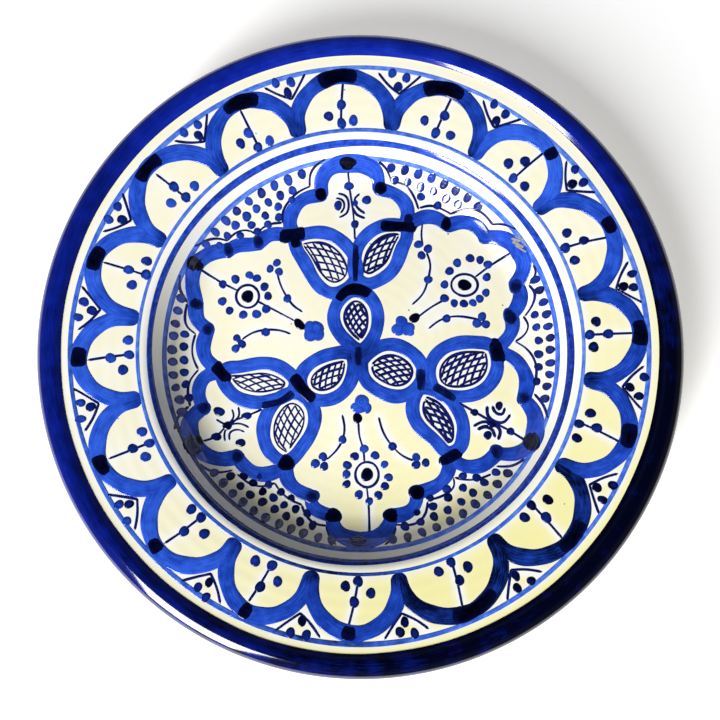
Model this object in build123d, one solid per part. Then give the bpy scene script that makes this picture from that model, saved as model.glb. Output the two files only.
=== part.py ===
"""Hand painted ceramic plate: a thrown clay plate on a foot ring, glazed white on both sides, with a
sixteen arch border, a six lobed medallion and a dotted ground painted in cobalt over the glaze.

Millimetres, +Z up, foot on z = 0, plate axis on Z, -Y is the edge nearest the viewer.
Every coat is a closed solid: clay, then glaze, then paint, each lying on the one below.
"""

import os
from math import atan2, cos, hypot, pi, radians, sin, tan

from build123d import *

# ---- clay ----
plate_radius = 150.0
foot_height = 9.0
floor_thickness = 7.0
well_radius = 86.0
well_depth = 18.6
well_slope_run = 14.5
border_rise = 7.0
lip_width = 12.0
lip_rise = 1.7
lip_depth = 8.4
wall_thickness = 7.0

# ---- foot ring ----
foot_inset = 12.5
foot_width = 6.0
foot_flare = 2.0
foot_shoulder = 2.5
hang_hole_radius = 2.0
hang_hole_height = 4.0
hang_hole_spacing = 40.0

# ---- coats ----
glaze = 0.5
paint = 0.2
lip_paint = 0.35
glaze_margin = 0.5

# ---- painted rings: radius of the inner edge, and width ----
lip_band_clearance = 1.1
rim_line_gap = 3.8
rim_line_width = 2.3
border_line_gap = 3.3
border_line_width = 2.2
well_line_drop = 3.0
well_line_width = 2.6
floor_line_rise = 5.6
floor_line_width = 2.6

# ---- brushes ----
arch_brush = 7.0
outline_brush = 6.0
ring_brush = 6.0
fine_brush = 1.1
echo_brush = 0.9
lattice_brush = 0.8
lattice_pitch = 2.7
lattice_gap = 1.6
dot_radius = 2.1
arch_dot_radius = 2.35
ground_dot_radius = 1.95
tick_dot_radius = 2.0

# ---- derived ----
coats = glaze + paint
lip_coats = glaze + lip_paint
clay_radius = plate_radius - lip_coats
floor_top = foot_height + floor_thickness
border_radius = well_radius + well_slope_run
border_z = floor_top + well_depth
lip_inner = clay_radius - lip_width + 1.7
lip_crest = lip_inner + 2.6
rim_z = border_z + border_rise
top_z = rim_z + lip_rise
lip_under_z = top_z - lip_depth
waist_z = top_z - 6.0
foot_radius = well_radius - foot_inset
foot_inner = foot_radius - foot_width
flare_outer = foot_radius + foot_flare
flare_inner = foot_inner - foot_flare

# Drawing scale of the medallion, which is drawn for a floor of 86 mm.
draw = well_radius / 86.0

FACE = [
    (0, floor_top),
    (well_radius, floor_top),
    (border_radius, border_z),
    (lip_inner, rim_z),
    (lip_crest, top_z),
    (clay_radius, top_z),
    (clay_radius, waist_z),
]
FACE_RADII = [16, 7, 5, 4.2, 5.5]
UNDER = [
    (clay_radius, waist_z),
    (clay_radius, lip_under_z),
    (border_radius + 4, border_z - wall_thickness + 0.6),
    (well_radius + 4, foot_height + 2.2),
    (flare_outer + 2.5, foot_height),
    (flare_outer, foot_height),
]
UNDER_RADII = [2.2, 6, 14, 16]


def shifted(corners, distance):
    """Corners of the same outline moved sideways by a distance, to the left of the way it runs."""
    runs = []
    for (x0, y0), (x1, y1) in zip(corners, corners[1:]):
        length = hypot(x1 - x0, y1 - y0)
        ux, uy = (x1 - x0) / length, (y1 - y0) / length
        runs.append((x0 - uy * distance, y0 + ux * distance, ux, uy))
    moved = [(runs[0][0], runs[0][1])]
    for (ax, ay, ux, uy), (bx, by, vx, vy) in zip(runs, runs[1:]):
        cross = ux * vy - uy * vx
        reach = ((bx - ax) * vy - (by - ay) * vx) / cross
        moved.append((ax + ux * reach, ay + uy * reach))
    last_x, last_y = corners[-1]
    moved.append((last_x - runs[-1][3] * distance, last_y + runs[-1][2] * distance))
    return moved


def contour(corners, radii, distance=0.0):
    """Edges of a rounded outline at a distance from the clay, with every coat's fillets concentric."""
    points = shifted(corners, distance)
    edges = []
    start = points[0]
    for before, corner, after, radius in zip(points, points[1:], points[2:], radii):
        ax, ay = before[0] - corner[0], before[1] - corner[1]
        bx, by = after[0] - corner[0], after[1] - corner[1]
        la, lb = hypot(ax, ay), hypot(bx, by)
        ax, ay, bx, by = ax / la, ay / la, bx / lb, by / lb
        turn = ax * by - ay * bx
        size = radius + distance if turn > 0 else radius - distance
        half = (pi - abs(atan2(turn, ax * bx + ay * by))) / 2
        cut = size * tan(half)
        first = (corner[0] + ax * cut, corner[1] + ay * cut)
        last = (corner[0] + bx * cut, corner[1] + by * cut)
        mx, my = ax + bx, ay + by
        lm = hypot(mx, my)
        depth = size / cos(half) - size
        middle = (corner[0] + mx / lm * depth, corner[1] + my / lm * depth)
        edges.append(Line(start, first))
        edges.append(ThreePointArc(first, middle, last))
        start = last
    edges.append(Line(start, points[-1]))
    return edges


def ends(edges):
    """First and last point of a run of edges."""
    return (edges[0] @ 0, edges[-1] @ 1)


def spin(edges):
    """Solid of revolution about Z of a closed section drawn in radius and height."""
    section = make_face(edges).face()
    if section.normal_at().Z < 0:
        section = -section
    upright = Plane.XZ * section
    return revolve(upright, Axis.Z)


def coat(corners, radii, inner, outer):
    """Solid ring or disc lying between two distances from the clay along an outline."""
    below = contour(corners, radii, inner)
    above = contour(corners, radii, outer)
    (b0, b1), (a0, a1) = ends(below), ends(above)
    return spin(below + above + [Line(b0, a0), Line(b1, a1)])


def polar(angle, radius):
    """Point at an angle in degrees clockwise from the far edge, and a radius."""
    return (radius * sin(radians(angle)), radius * cos(radians(angle)))


def stroke(points, width):
    """Face of one brush stroke: a strip along a smooth line, with round ends."""
    path = Line(*points) if len(points) == 2 else Spline(*points)
    half = width / 2
    count = 1 if len(points) == 2 else 2 * len(points)
    left, right = [], []
    for step in range(count + 1):
        place, way = path @ (step / count), path % (step / count)
        left.append((place.X - way.Y * half, place.Y + way.X * half))
        right.append((place.X + way.Y * half, place.Y - way.X * half))
    tail = path @ 0 - (path % 0) * half
    nose = path @ 1 + (path % 1) * half
    side = Line if count == 1 else Spline
    edges = [
        side(*left),
        ThreePointArc(left[-1], (nose.X, nose.Y), right[-1]),
        side(*right[::-1]),
        ThreePointArc(right[0], (tail.X, tail.Y), left[0]),
    ]
    return make_face(edges)


def spot(x, y, across, along=None, turn=0.0):
    """Face of one dab of the brush: an oval with its long side turned anticlockwise by degrees."""
    shape = Circle(across) if along in (None, across) else Ellipse(across, along)
    return Pos(x, y) * Rot(0, 0, turn) * shape


def ring(inner, width):
    """Flat ring by inner radius and width."""
    return Circle(inner + width) - Circle(inner)


def joined(faces):
    """One sketch of several faces, with those that touch run together."""
    return Sketch() + list(faces)


def leaf(points):
    """Face inside a closed smooth line with one sharp corner, at the first point."""
    return make_face(Spline(*points, points[0]))


def swollen(points, distance):
    """Face of a leaf grown by a distance all round, rounded about its corner."""
    path = Spline(*points, points[0])
    turned = sum(x0 * y1 - x1 * y0 for (x0, y0), (x1, y1) in zip(points, points[1:] + points[:1]))
    side = distance if turned < 0 else -distance
    count = 2 * len(points)
    moved = []
    for step in range(count + 1):
        place, way = path @ (step / count), path % (step / count)
        moved.append((place.X - way.Y * side, place.Y + way.X * side))
    tip = path @ 0
    out = (path % 1) - (path % 0)
    far = tip + out / out.length * distance
    return make_face([Spline(*moved), ThreePointArc(moved[-1], (far.X, far.Y), moved[0])])


def shrunk(points, distance):
    """Points of a leaf drawn in by a distance along and across its own length."""
    tip = points[0]
    far = max(points, key=lambda p: hypot(p[0] - tip[0], p[1] - tip[1]))
    length = hypot(far[0] - tip[0], far[1] - tip[1])
    ux, uy = (far[0] - tip[0]) / length, (far[1] - tip[1]) / length
    local = [((x - tip[0]) * ux + (y - tip[1]) * uy, (y - tip[1]) * ux - (x - tip[0]) * uy) for x, y in points]
    high, low = max(n for _, n in local), min(n for _, n in local)
    mid, half = (high + low) / 2, (high - low) / 2
    along, across = 1 - 2 * distance / length, 1 - distance / half
    result = []
    for s, n in local:
        s, n = length / 2 + (s - length / 2) * along, mid + (n - mid) * across
        result.append((tip[0] + s * ux - n * uy, tip[1] + s * uy + n * ux))
    return result


def lattice(points, turn):
    """Face of a cross hatched seed: a leaf outline filled with two sets of thin bars."""
    outer = shrunk(points, lattice_gap)
    inner = leaf(shrunk(points, lattice_gap + lattice_brush))
    x = sum(p[0] for p in outer) / len(outer)
    y = sum(p[1] for p in outer) / len(outer)
    reach = 6 * lattice_pitch
    bars = []
    for lean in (turn - 32, turn + 32):
        for step in range(-5, 6):
            bars.append(Pos(x, y) * Rot(0, 0, lean) * Pos(0, step * lattice_pitch) * Rectangle(2 * reach, lattice_brush))
    net = joined(bars) & inner
    return net + (leaf(outer) - inner)


def laid(face, shell):
    """Solids of paint: the part of a coat of paint that stands over a flat drawing."""
    prism = extrude(face, amount=top_z + 5)
    return prism & shell


# ---- clay body ----
face_edge = contour(FACE, FACE_RADII)
under_edge = contour(UNDER, UNDER_RADII)
floor_under = [Line((flare_outer, foot_height), (0, foot_height)), Line((0, foot_height), (0, floor_top))]
clay_body = spin(face_edge + under_edge + floor_under)

# ---- foot ring, with two hanging holes through its wall at the far edge ----
foot_points = [
    (foot_inner, 0),
    (foot_radius, 0),
    (foot_radius, foot_height - foot_shoulder),
    (flare_outer, foot_height - glaze_margin),
    (flare_outer, foot_height),
    (flare_inner, foot_height),
    (flare_inner, foot_height - glaze_margin),
    (foot_inner, foot_height - foot_shoulder),
]
foot_ring = spin(Polyline(*foot_points, close=True))
hang_angle = atan2(hang_hole_spacing / 2, (foot_radius + foot_inner) / 2) * 180 / pi
for side in (-1, 1):
    drill = Rot(0, 0, -side * hang_angle) * Pos(0, foot_inner - 8, hang_hole_height) * Rot(-90, 0, 0)
    foot_ring -= drill * Cylinder(hang_hole_radius, foot_width + 16, align=(Align.CENTER, Align.CENTER, Align.MIN))

# ---- glaze ----
face_glaze = coat(FACE, FACE_RADII, 0, glaze)
back_glaze = coat(UNDER, UNDER_RADII, 0, glaze)
base_glaze = Pos(0, 0, foot_height - glaze) * Cylinder(
    flare_inner, glaze, align=(Align.CENTER, Align.CENTER, Align.MIN)
)

# ---- paint on the lip, over the crest and round the edge to the underside ----
border_slope = (rim_z - border_z) / (lip_inner - border_radius)
band_start = lip_inner - lip_band_clearance
under_slope = (lip_under_z - UNDER[2][1]) / (clay_radius - UNDER[2][0])
LIP = [
    (band_start, rim_z - lip_band_clearance * border_slope),
    *FACE[3:6],
    UNDER[1],
    (clay_radius - 4, lip_under_z - 4 * under_slope),
]
lip_band = coat(LIP, [*FACE_RADII[2:], UNDER_RADII[0]], glaze, lip_coats)

# ---- paint on the face: one thin shell, cut to each drawing ----
shell = coat(FACE, FACE_RADII, glaze, coats)
shell -= Pos(0, 0, waist_z - 5) * (
    Cylinder(plate_radius + 5, 20, align=(Align.CENTER, Align.CENTER, Align.MIN))
    - Cylinder(band_start - 0.05, 20, align=(Align.CENTER, Align.CENTER, Align.MIN))
)

# ---- border of arches ----
FEET = [7.7, 30.3, 51.8, 76.3, 98, 120.5, 145.5, 170.8, 192.2, 212.8, 235, 257, 277.5, 298.2, 322, 343.7]
STEMS = [19.3, 41.6, 64, 86.7, 109.2, 132.8, 157.2, 181, 202.5, 223.5, 245.8, 268, 288.6, 310.6, 332.8, 355.1]
LEANS = [0.9, 1.2, 2.1, 0.3, 1.2, 1.0, 1.6, 1.8, 1.5, 1.6, 0.3, -1.1, -0.4, -0.4, 0, 1.2]
DABS = [
    (13, 22.5), (43, 46.5), (61.5, 66), (84, 90), (105.5, 111.5), (128, 136), (154, 161.5), (180.8, 184.5),
    (202, 205.5), (224, 228), (243, 248), (265.5, 270.5), (285.5, 291.5), (306.5, 314), (329.5, 338), (350.5, 359.5),
]
rim_line = band_start - rim_line_gap - rim_line_width
border_line = border_radius + border_line_gap
arch_foot = border_line + border_line_width
arch_crown = rim_line + rim_line_width - arch_brush / 2 - 0.7
arch_rise = arch_crown - arch_foot
foot_share = 0.3
arch_point = 1.1
tick_apex = arch_foot + 0.69 * arch_rise

arches, crowns, stems, arch_dots, ticks, tick_dots = [], [], [], [], [], []
for index, (foot, stem, lean, dab) in enumerate(zip(FEET, STEMS, LEANS, DABS)):
    following = FEET[(index + 1) % len(FEET)] + (360 if index + 1 == len(FEET) else 0)
    middle = (foot + following) / 2
    half_span = (following - foot) / 2 - foot_share
    line = []
    for step in range(9):
        along = pi * step / 8
        aside = half_span * abs(cos(along)) ** arch_point * (1 if step < 4 else -1)
        line.append(polar(middle - aside, arch_foot + arch_rise * sin(along) ** arch_point))
    arches.append(stroke(line, arch_brush))
    wedge = Polyline((0, 0), polar(dab[0], plate_radius + 20), polar(dab[1], plate_radius + 20), close=True)
    crowns.append(make_face(wedge) - Circle(arch_crown - arch_brush))
    top = arch_crown - arch_brush / 2 + 0.4
    stems.append(stroke([polar(stem + lean, top), polar(stem, arch_foot + 1.2)], fine_brush))
    spots = [(0.3, 10.2), (0.1, 1.6), (-3.4, 5.8), (3.4, 2.8)]
    for turn, rise in spots:
        arch_dots.append(spot(*polar(stem + turn, arch_foot + rise), arch_dot_radius))
    apex = polar(foot + 0.8, tick_apex)
    ticks.append(stroke([apex, polar(foot - 3.9, rim_line - 1.4)], fine_brush))
    ticks.append(stroke([apex, polar(foot + 4.6, rim_line + 0.2)], fine_brush))
    for turn, radius in [(-1.3, rim_line - 0.8), (1.7, rim_line - 1.6), (0.5, tick_apex + 2.7)]:
        tick_dots.append(spot(*polar(foot + turn, radius), tick_dot_radius))

arch_face = joined(arches)
crown_face = joined(crowns) & arch_face
arch_face = arch_face - crown_face
arch_dot_face = joined(arch_dots)
stem_face = joined(stems) - arch_dot_face - arch_face - crown_face
tick_dot_face = joined(tick_dots) - arch_face - crown_face
tick_face = joined(ticks) - tick_dot_face - arch_face - crown_face
line_face = ring(rim_line, rim_line_width) + ring(border_line, border_line_width)
line_face = line_face - arch_face - crown_face - tick_face - tick_dot_face - arch_dot_face

# ---- medallion: nine pods, three large petals and three small lobes, drawn for a floor of 86 mm ----
PODS = [
    ([(-0.3, 3.6), (-6.3, 9), (-10, 16), (-8, 23), (-2.5, 26.6), (2.8, 23.5), (5, 16), (3.2, 8.5)], 90),
    ([(-6.8, -3.4), (-14, -4.5), (-22, -8), (-26, -13), (-24.5, -18.5), (-18.5, -20.6), (-11, -17.5), (-7.2, -10.5)], 40),
    ([(3.4, -6), (8.5, -1.5), (14.5, 0.2), (21, -2), (26.8, -9.3), (24, -16), (18, -18.6), (10.5, -16.5), (5, -12)], -25),
    ([(-30.3, 54), (-19, 55.5), (-11.5, 52), (-6.3, 45), (-5.8, 37), (-14, 32), (-19, 35.5), (-24, 44)], -50),
    ([(20.5, 59), (14.5, 59.5), (8, 57.5), (2.5, 52), (0, 44), (1.7, 36.8), (8, 38.3), (13.5, 43), (17, 51.5)], 58),
    ([(-65, -11.3), (-57, -10.5), (-48, -9), (-40, -11), (-35, -16.3), (-41, -19.7), (-50, -21.5), (-59, -19)], -4),
    ([(-35.8, -50.8), (-41, -47), (-43.8, -40), (-42, -31), (-33, -23.5), (-26.5, -28), (-27, -38), (-31.5, -45)], 74),
    ([(62, 0.6), (50, 1.2), (41, -2), (36.8, -8.5), (38, -16), (48, -18.7), (57, -16.5), (63, -8)], 20),
    ([(30.3, -20.6), (38, -23.5), (44, -30), (46.3, -38.5), (43.6, -46), (38.5, -41.3), (31.5, -35), (28.3, -28.5)], -52),
]
SCALLOPS = [
    [(-33, 57), (-35, 63), (-33.5, 70), (-28, 75.5), (-20, 77.5)],
    [(-19.5, 79), (-19.3, 84.5), (-15, 89.5), (-7, 91.3), (1, 91), (7.5, 87.5), (8.8, 81.5)],
    [(9.5, 80.5), (16, 78.5), (21.5, 74), (23, 67), (21.5, 62.5)],
    [(25, 63.5), (29, 66), (36, 66.5), (42, 63)],
    [(43, 62.5), (50, 64), (57, 61.5), (61, 57)],
    [(61, 56.5), (68, 55.5), (74.5, 51), (77, 47.5)],
    [(77, 47.5), (79, 43), (78.5, 38), (76, 33)],
    [(76, 33), (78, 28), (76.5, 22), (73.5, 18)],
    [(73.5, 18), (74, 11.5), (71, 6), (66, 1)],
    [(66, 0.5), (74, -3), (79, -9), (80.5, -16), (79, -22.5)],
    [(79, -23), (83, -30), (83, -38), (80, -45.5), (73, -49.5), (65.5, -49.2)],
    [(65.5, -49.2), (58, -55), (51, -55.5), (43, -51.5)],
    [(43, -52), (42, -58), (38, -63.5), (31, -67), (27, -68)],
    [(27, -69), (25.5, -74.5), (21, -78), (15, -79)],
    [(15, -79), (11.5, -86), (5.5, -89.3), (-1.5, -90)],
    [(-1.5, -90), (-8, -88.3), (-12.8, -84), (-13.7, -79)],
    [(-14, -79), (-19, -77.5), (-23.3, -74), (-24, -70)],
    [(-24.5, -69.5), (-31, -66.5), (-35.3, -61.5), (-36.2, -55)],
    [(-37, -56), (-46, -59.3), (-53.5, -57.5), (-59.3, -51.5)],
    [(-59.5, -51), (-67, -52), (-75, -49), (-80.5, -41.5), (-81.5, -33.5), (-76.5, -27.5)],
    [(-76.5, -27), (-78.5, -20), (-76, -13), (-69, -10)],
    [(-69, -9), (-75.5, -3), (-76.7, 3), (-74.5, 10.5)],
    [(-75, 11), (-79.3, 15), (-80.5, 19.5), (-80.3, 23)],
    [(-80.3, 23), (-81.7, 30), (-81.7, 36), (-80.5, 41.5)],
    [(-80.5, 41.5), (-75.5, 46), (-71, 48.5), (-65, 49.7)],
    [(-65, 49.7), (-60, 52.3), (-55.5, 52.7), (-50.5, 53.3)],
    [(-50.5, 53.5), (-45, 57.5), (-39, 58), (-33, 57)],
]
ECHOES = [
    [(-38.5, 64), (-38.5, 69), (-35, 75), (-30.5, 79), (-25.3, 81.5)],
    [(-25.3, 82), (-25, 86), (-22, 90), (-17.5, 92.4)],
    [(8.8, 92), (12.8, 88.7), (14.6, 84.8)],
    [(15, 84), (20, 83), (25.5, 78), (28.3, 71)],
    [(29.3, 71.3), (34, 72.3), (40, 70.5), (44.3, 68.2)],
    [(44.8, 68.4), (51, 70), (58.5, 68), (64, 62.4)],
    [(64.2, 62), (69.5, 61), (74.5, 58)],
    [(83.3, 41), (84.3, 38), (82.3, 33)],
    [(82, 32), (84.4, 28), (83.7, 23), (80.3, 17.6)],
    [(79.6, 17), (81.6, 12.5), (80, 8.5), (75.7, 5.2)],
    [(75.8, 4.6), (80.5, 1.5), (84, -3.5), (85, -11), (83.3, -18.5)],
    [(84, -21), (87, -26), (88.4, -32.5)],
    [(77, -52), (72, -55), (65.5, -55.5)],
    [(62, -59.4), (57, -61.3), (51, -62), (45.5, -61)],
    [(44.6, -61.5), (44.8, -64.5), (41, -68.7), (34.3, -71.2)],
    [(32, -72.8), (31, -77.5), (27, -82), (17, -83.2)],
    [(16.4, -84.5), (15, -88.5), (11.5, -91.5)],
    [(-12, -91.5), (-15, -88), (-16.6, -84)],
    [(-17, -83.5), (-22, -82.5), (-26, -79), (-28.3, -74.5)],
    [(-28.6, -73.8), (-35, -70.8), (-39, -67), (-41.3, -63.8)],
    [(-41.8, -63.6), (-47, -65), (-53.5, -63.6), (-59, -59.5)],
    [(-62, -57.4), (-69.5, -58), (-76, -54.3)],
    [(-87.5, -37.5), (-86.7, -32), (-83, -27)],
    [(-82.3, -26.3), (-83.5, -20), (-82.5, -14), (-79.2, -9.3)],
    [(-79.2, -8.4), (-81.4, -3.5), (-82, 2), (-80.7, 8)],
    [(-80.9, 8.8), (-84.5, 12), (-85.4, 17), (-84.4, 22.7)],
    [(-84.4, 23.8), (-87, 29), (-86.6, 36)],
    [(-79.8, 49.5), (-75, 53), (-69.5, 54.8), (-65.6, 54.3)],
    [(-65.2, 54.7), (-61, 58.5), (-56, 59.7), (-51.8, 58)],
    [(-51.2, 58.6), (-46, 62.5), (-39.3, 63.7)],
]
# Dark dabs: strokes as (points, width), then ovals as (x, y, across, along, turn).
DARK_STROKES = [
    ([(-38, 57), (-29.5, 58.2)], 6.4),
    ([(-33, 57), (-32, 52.8)], 5),
    ([(11.5, 62.2), (24.5, 61.8)], 6),
    ([(-10.3, 26.7), (-7, 29.7), (-2.5, 30.7), (2.8, 29)], 5.6),
    ([(-31, -13.5), (-28, -18.2), (-24, -22.3)], 5.4),
    ([(-70.5, -8.5), (-66, -11.5)], 6),
    ([(40.5, -52.5), (46, -49.5)], 6),
    ([(65.5, 3), (67, -2.5)], 7),
    ([(29.4, -9.5), (29, -18)], 4),
    ([(37, -17.8), (44, -22.4)], 4),
    ([(-46, -26), (-40, -24.5), (-34.5, -20.5)], 4),
    ([(-2.8, 35), (-2.6, 52)], 3.4),
]
DARK_SPOTS = [
    (-36, -54, 4.6, 4.1, 0), (-20, 78, 3.4, 3.8, 40), (9.8, 81, 3.9, 3.6, 0), (-6.5, 91.4, 5, 2.2, 0),
    (42, 63.2, 3, 3.9, 0), (76, 32, 3.8, 4, 0), (73, 17, 3.8, 4.4, 10), (79, -22.7, 3.9, 3.3, 0),
    (81, -43.5, 4, 5, -15), (65.5, -48.6, 3.3, 4.4, 0), (27, -68, 4.2, 3.8, 20), (14.5, -79, 4, 4, 10),
    (-1.5, -90, 5.4, 2.3, 0), (-13.5, -79, 4.2, 3.7, -20), (-23.5, -70, 4, 3.4, 0), (-59.5, -51, 3.6, 3.8, 0),
    (-79.3, -45, 4.3, 5.6, 30), (-76, -27.5, 3.9, 3.4, 0), (-74.7, 10.8, 3.9, 3, 0), (-80.3, 23, 3.9, 3.5, 0),
    (-80.3, 41.8, 4, 3.8, 40), (-65, 49.8, 2.6, 4.2, 0), (-50.5, 54, 2.8, 4.2, 0),
]
EYES = [(-55.5, 27, 5.7, 5.7, 3, 2.9), (50.8, 32.8, 6.6, 5.4, 3.3, 2.7), (2.9, -59.5, 5.7, 6, 2.8, 3.2)]
EYE_DOTS = [
    (-67.7, 33), (-61.5, 35.5), (-54.6, 37.5), (-51, 36), (-47.3, 31.8), (-45.5, 27.2), (-46.3, 20.8), (-51, 18.3),
    (-57.5, 18), (-64.2, 20), (-67.8, 24.6),
    (47.3, 43.8), (53.7, 46.1), (58.6, 45.3), (62.4, 43), (61.8, 36.7), (61.3, 29), (58.2, 26), (54.8, 24),
    (50.4, 23.6), (45.7, 23.8), (40.9, 26.2), (41, 33), (43.5, 39.7),
    (1.5, -47.2), (6.8, -50.3), (11.3, -54.6), (13.3, -60.8), (11.5, -65), (8.4, -69.3), (4, -72.2), (-1, -69),
    (-6.9, -64), (-7, -59.3), (-6.6, -55), (-3, -50.7),
]
SPRIG_DOTS = [
    (-44.6, 40.7), (-41.3, 43.7), (-40.2, 39.3), (-36, 26), (-60.4, 6.4), (-58, 3.6), (-61, 1.4), (-46.5, 9.4),
    (28.3, 53), (33, 50.8), (29.8, 47.5), (33, 35.4), (59.3, 17.2), (56.7, 13.8), (61, 13.4), (41.8, 16.2),
    (-18.3, -51), (-22, -54.2), (-17.7, -55.5), (-8.9, -42.7),
    (26.6, -51.3), (26.6, -54.8), (31.2, -53.8), (15.2, -46),
]
FINE_LINES = [
    [(-78.5, 40), (-67.7, 33.5), (-60.4, 29.8)],
    [(-50, 24.3), (-41, 19.5), (-33, 15.3)],
    [(-41.3, 40), (-40, 34.5), (-36, 26.3), (-33, 22.5), (-29, 19.6)],
    [(-57.7, 6), (-53, 9), (-46.7, 10.5), (-40, 10.3), (-34.7, 8.7)],
    [(73.5, 48.3), (66, 44), (56.3, 36.9)],
    [(40, 25), (34, 21.5), (28, 17)],
    [(30.3, 63), (29.8, 58), (30.4, 52.5)],
    [(32.3, 48.8), (34, 43), (33, 36), (30.5, 28.8), (25.2, 23.2)],
    [(57.5, 15.7), (51, 17), (45, 17.2), (38, 15), (33.3, 11.4)],
    [(-1.2, -35), (-0.5, -42), (1, -47), (1.6, -53)],
    [(2.8, -65.8), (3.5, -72), (4, -86.5)],
    [(-9, -31.2), (-8, -36.5), (-8.9, -42.7), (-12, -48), (-16.5, -52.3)],
    [(8.7, -32.3), (10.5, -38.5), (15.2, -46), (20, -50.5), (25, -52.7)],
]
CALYXES = [(-30, 13.3, 3.4, 2.3, -40), (26.2, 16.5, 2.9, 2.4, 20), (-1.7, -32.4, 2.5, 2.6, 0)]
BUDS = [
    (-25.5, 10.3, 3.2, 3.2, 0), (-22.6, 11, 3, 4.2, 20), (-21.2, 8.2, 2.8, 3, 0), (-25, 7.8, 2.8, 2.4, 0),
    (19.8, 14.6, 3.2, 3, 0), (18.4, 11, 3.6, 3.4, 0), (22.6, 11.2, 3.8, 3.4, 0), (24, 9.2, 2.3, 1.6, 0),
    (0.3, -24.5, 3.6, 3.8, 0), (-2.8, -26.8, 2.5, 1.9, 0), (2.9, -27.4, 2.4, 2.8, 0), (-1, -28.3, 3, 2, 0),
]
CURLS = [
    [(-6.5, 89), (-5.5, 80), (-4, 70), (-3.2, 60), (-3, 55.6)],
    [(-10.8, 78.3), (-7.5, 77), (-6.1, 73), (-7.2, 68.5), (-10.3, 66.6)],
    [(-11.9, 76), (-9.2, 75), (-8.3, 71.8), (-9.8, 68.9)],
    [(-1, 78), (-3, 75.8), (-2.4, 72.3), (1.5, 68.7)],
    [(-4, 71), (-2, 67.8), (1.5, 66.2)],
    [(-48.5, -28.4), (-55.3, -31.3), (-64.5, -35.7), (-69.7, -41), (-75.3, -43.3)],
    [(-62.3, -28.5), (-61.6, -31.5), (-63.5, -34.8)],
    [(-59.3, -27.4), (-59, -31), (-62.8, -35)],
    [(-69.6, -33.2), (-67, -34.8), (-64.5, -35.8)],
    [(-54.5, -36.7), (-59.5, -35), (-64.3, -36.7), (-65.8, -39.3), (-65.6, -43)],
    [(-56.6, -38.9), (-60.3, -38), (-63.3, -39.6), (-63.4, -42.6)],
    [(46, -24.3), (55, -29.3), (63, -33.8), (72, -38.6), (78.5, -43)],
    [(61.2, -27.3), (61.5, -31), (64.3, -33.8), (69, -34.3), (72, -31.2)],
    [(64, -27.2), (65.3, -29.7), (68.5, -30.3), (69.6, -28)],
    [(55, -36), (59, -34.2), (64, -35.3), (67.3, -38.5), (66.5, -42.2)],
    [(57, -37.6), (60.3, -36.5), (63.3, -37.9), (64.7, -41)],
]
INSECT_SPOTS = [
    (-6, 82, 2.7, 2, 0), (-11.3, 72.4, 2.1, 2.6, -15), (2.8, 75.2, 2.6, 2.2, 30), (-3, 63, 2.1, 2.2, 0),
    (-2.9, 73.6, 1.5, 1.7, 0),
    (-68.6, -29.2, 3, 2.3, -10), (-55.3, -31.3, 2.7, 1.9, 0), (-64.5, -36, 2.5, 2.2, 0), (-69.7, -41.3, 2.5, 2.1, 0),
    (-58, -44.2, 2.5, 2.1, 0),
    (55, -29.6, 2, 1.9, 0), (67, -26.4, 1.9, 2.3, 0), (61.3, -40.6, 2.2, 2.2, 0), (72.3, -38.8, 2.1, 1.9, -20),
    (63.2, -35.2, 2.6, 1.7, -30),
]
# Dotted ground: rows as (radius, first angle, last angle, number).
GROUND = [
    (91, 9.5, 39, 8), (86.6, 11, 33.5, 6), (82, 21, 27.5, 2),
    (91, 64, 105, 11), (86.4, 77.5, 99.5, 6),
    (91, 130, 170.5, 10), (86.6, 132, 166, 8), (82.2, 137.5, 161, 5), (77.8, 141, 155, 3),
    (91, 191, 236, 11), (86.6, 193.5, 228.5, 8), (82.2, 199, 224, 6), (77.8, 206.5, 217, 3),
    (90.6, 248, 288, 10), (85.8, 254, 274, 5),
    (91, 304.5, 341.5, 9), (86.6, 306.5, 337, 8), (82.2, 314, 335.5, 5), (77.8, 319.5, 328.5, 3),
]

outline_face = joined([stroke(points, outline_brush) for points in SCALLOPS])
ring_face = joined([swollen(points, ring_brush) for points, _ in PODS])
lens_face = joined([leaf(points) for points, _ in PODS])
ring_face = ring_face - lens_face
dark_face = joined([stroke(points, width) for points, width in DARK_STROKES] + [spot(*one) for one in DARK_SPOTS])
dark_face = dark_face & (outline_face + ring_face)
outline_face = outline_face - lens_face - dark_face
ring_face = ring_face - outline_face - dark_face
covered = outline_face + ring_face + dark_face
eye_face = joined([spot(x, y, a + 0.5, b + 0.5) - spot(x, y, a - 0.5, b - 0.5) for x, y, a, b, _, _ in EYES])
pupil_face = joined([spot(x, y, p, q) for x, y, _, _, p, q in EYES] + [spot(*one) for one in CALYXES])
pupil_face = pupil_face - covered
bud_face = joined([spot(*one) for one in BUDS]) - pupil_face
petal_dot_face = joined([spot(x, y, dot_radius) for x, y in EYE_DOTS])
sprig_dot_face = joined([spot(x, y, dot_radius) for x, y in SPRIG_DOTS])
fine_face = joined([stroke(points, fine_brush) for points in FINE_LINES])
fine_face = fine_face - covered - eye_face - pupil_face - bud_face - petal_dot_face - sprig_dot_face
insect_spot_face = joined([spot(*one) for one in INSECT_SPOTS])
curl_face = joined([stroke(points, fine_brush) for points in CURLS]) - insect_spot_face - covered
lattice_face = joined([lattice(points, turn) for points, turn in PODS])

floor_line = well_radius + floor_line_rise
ground = []
for radius, first, last, number in GROUND:
    for step in range(number):
        ground.append(spot(*polar(first + (last - first) * step / (number - 1), radius), ground_dot_radius))
ground_face = joined(ground) - covered
echo_face = joined([stroke(points, echo_brush) for points in ECHOES]) - ground_face - covered


def fitted(face):
    """A medallion drawing at the size of this plate's floor."""
    return scale(face, by=draw)


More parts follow.
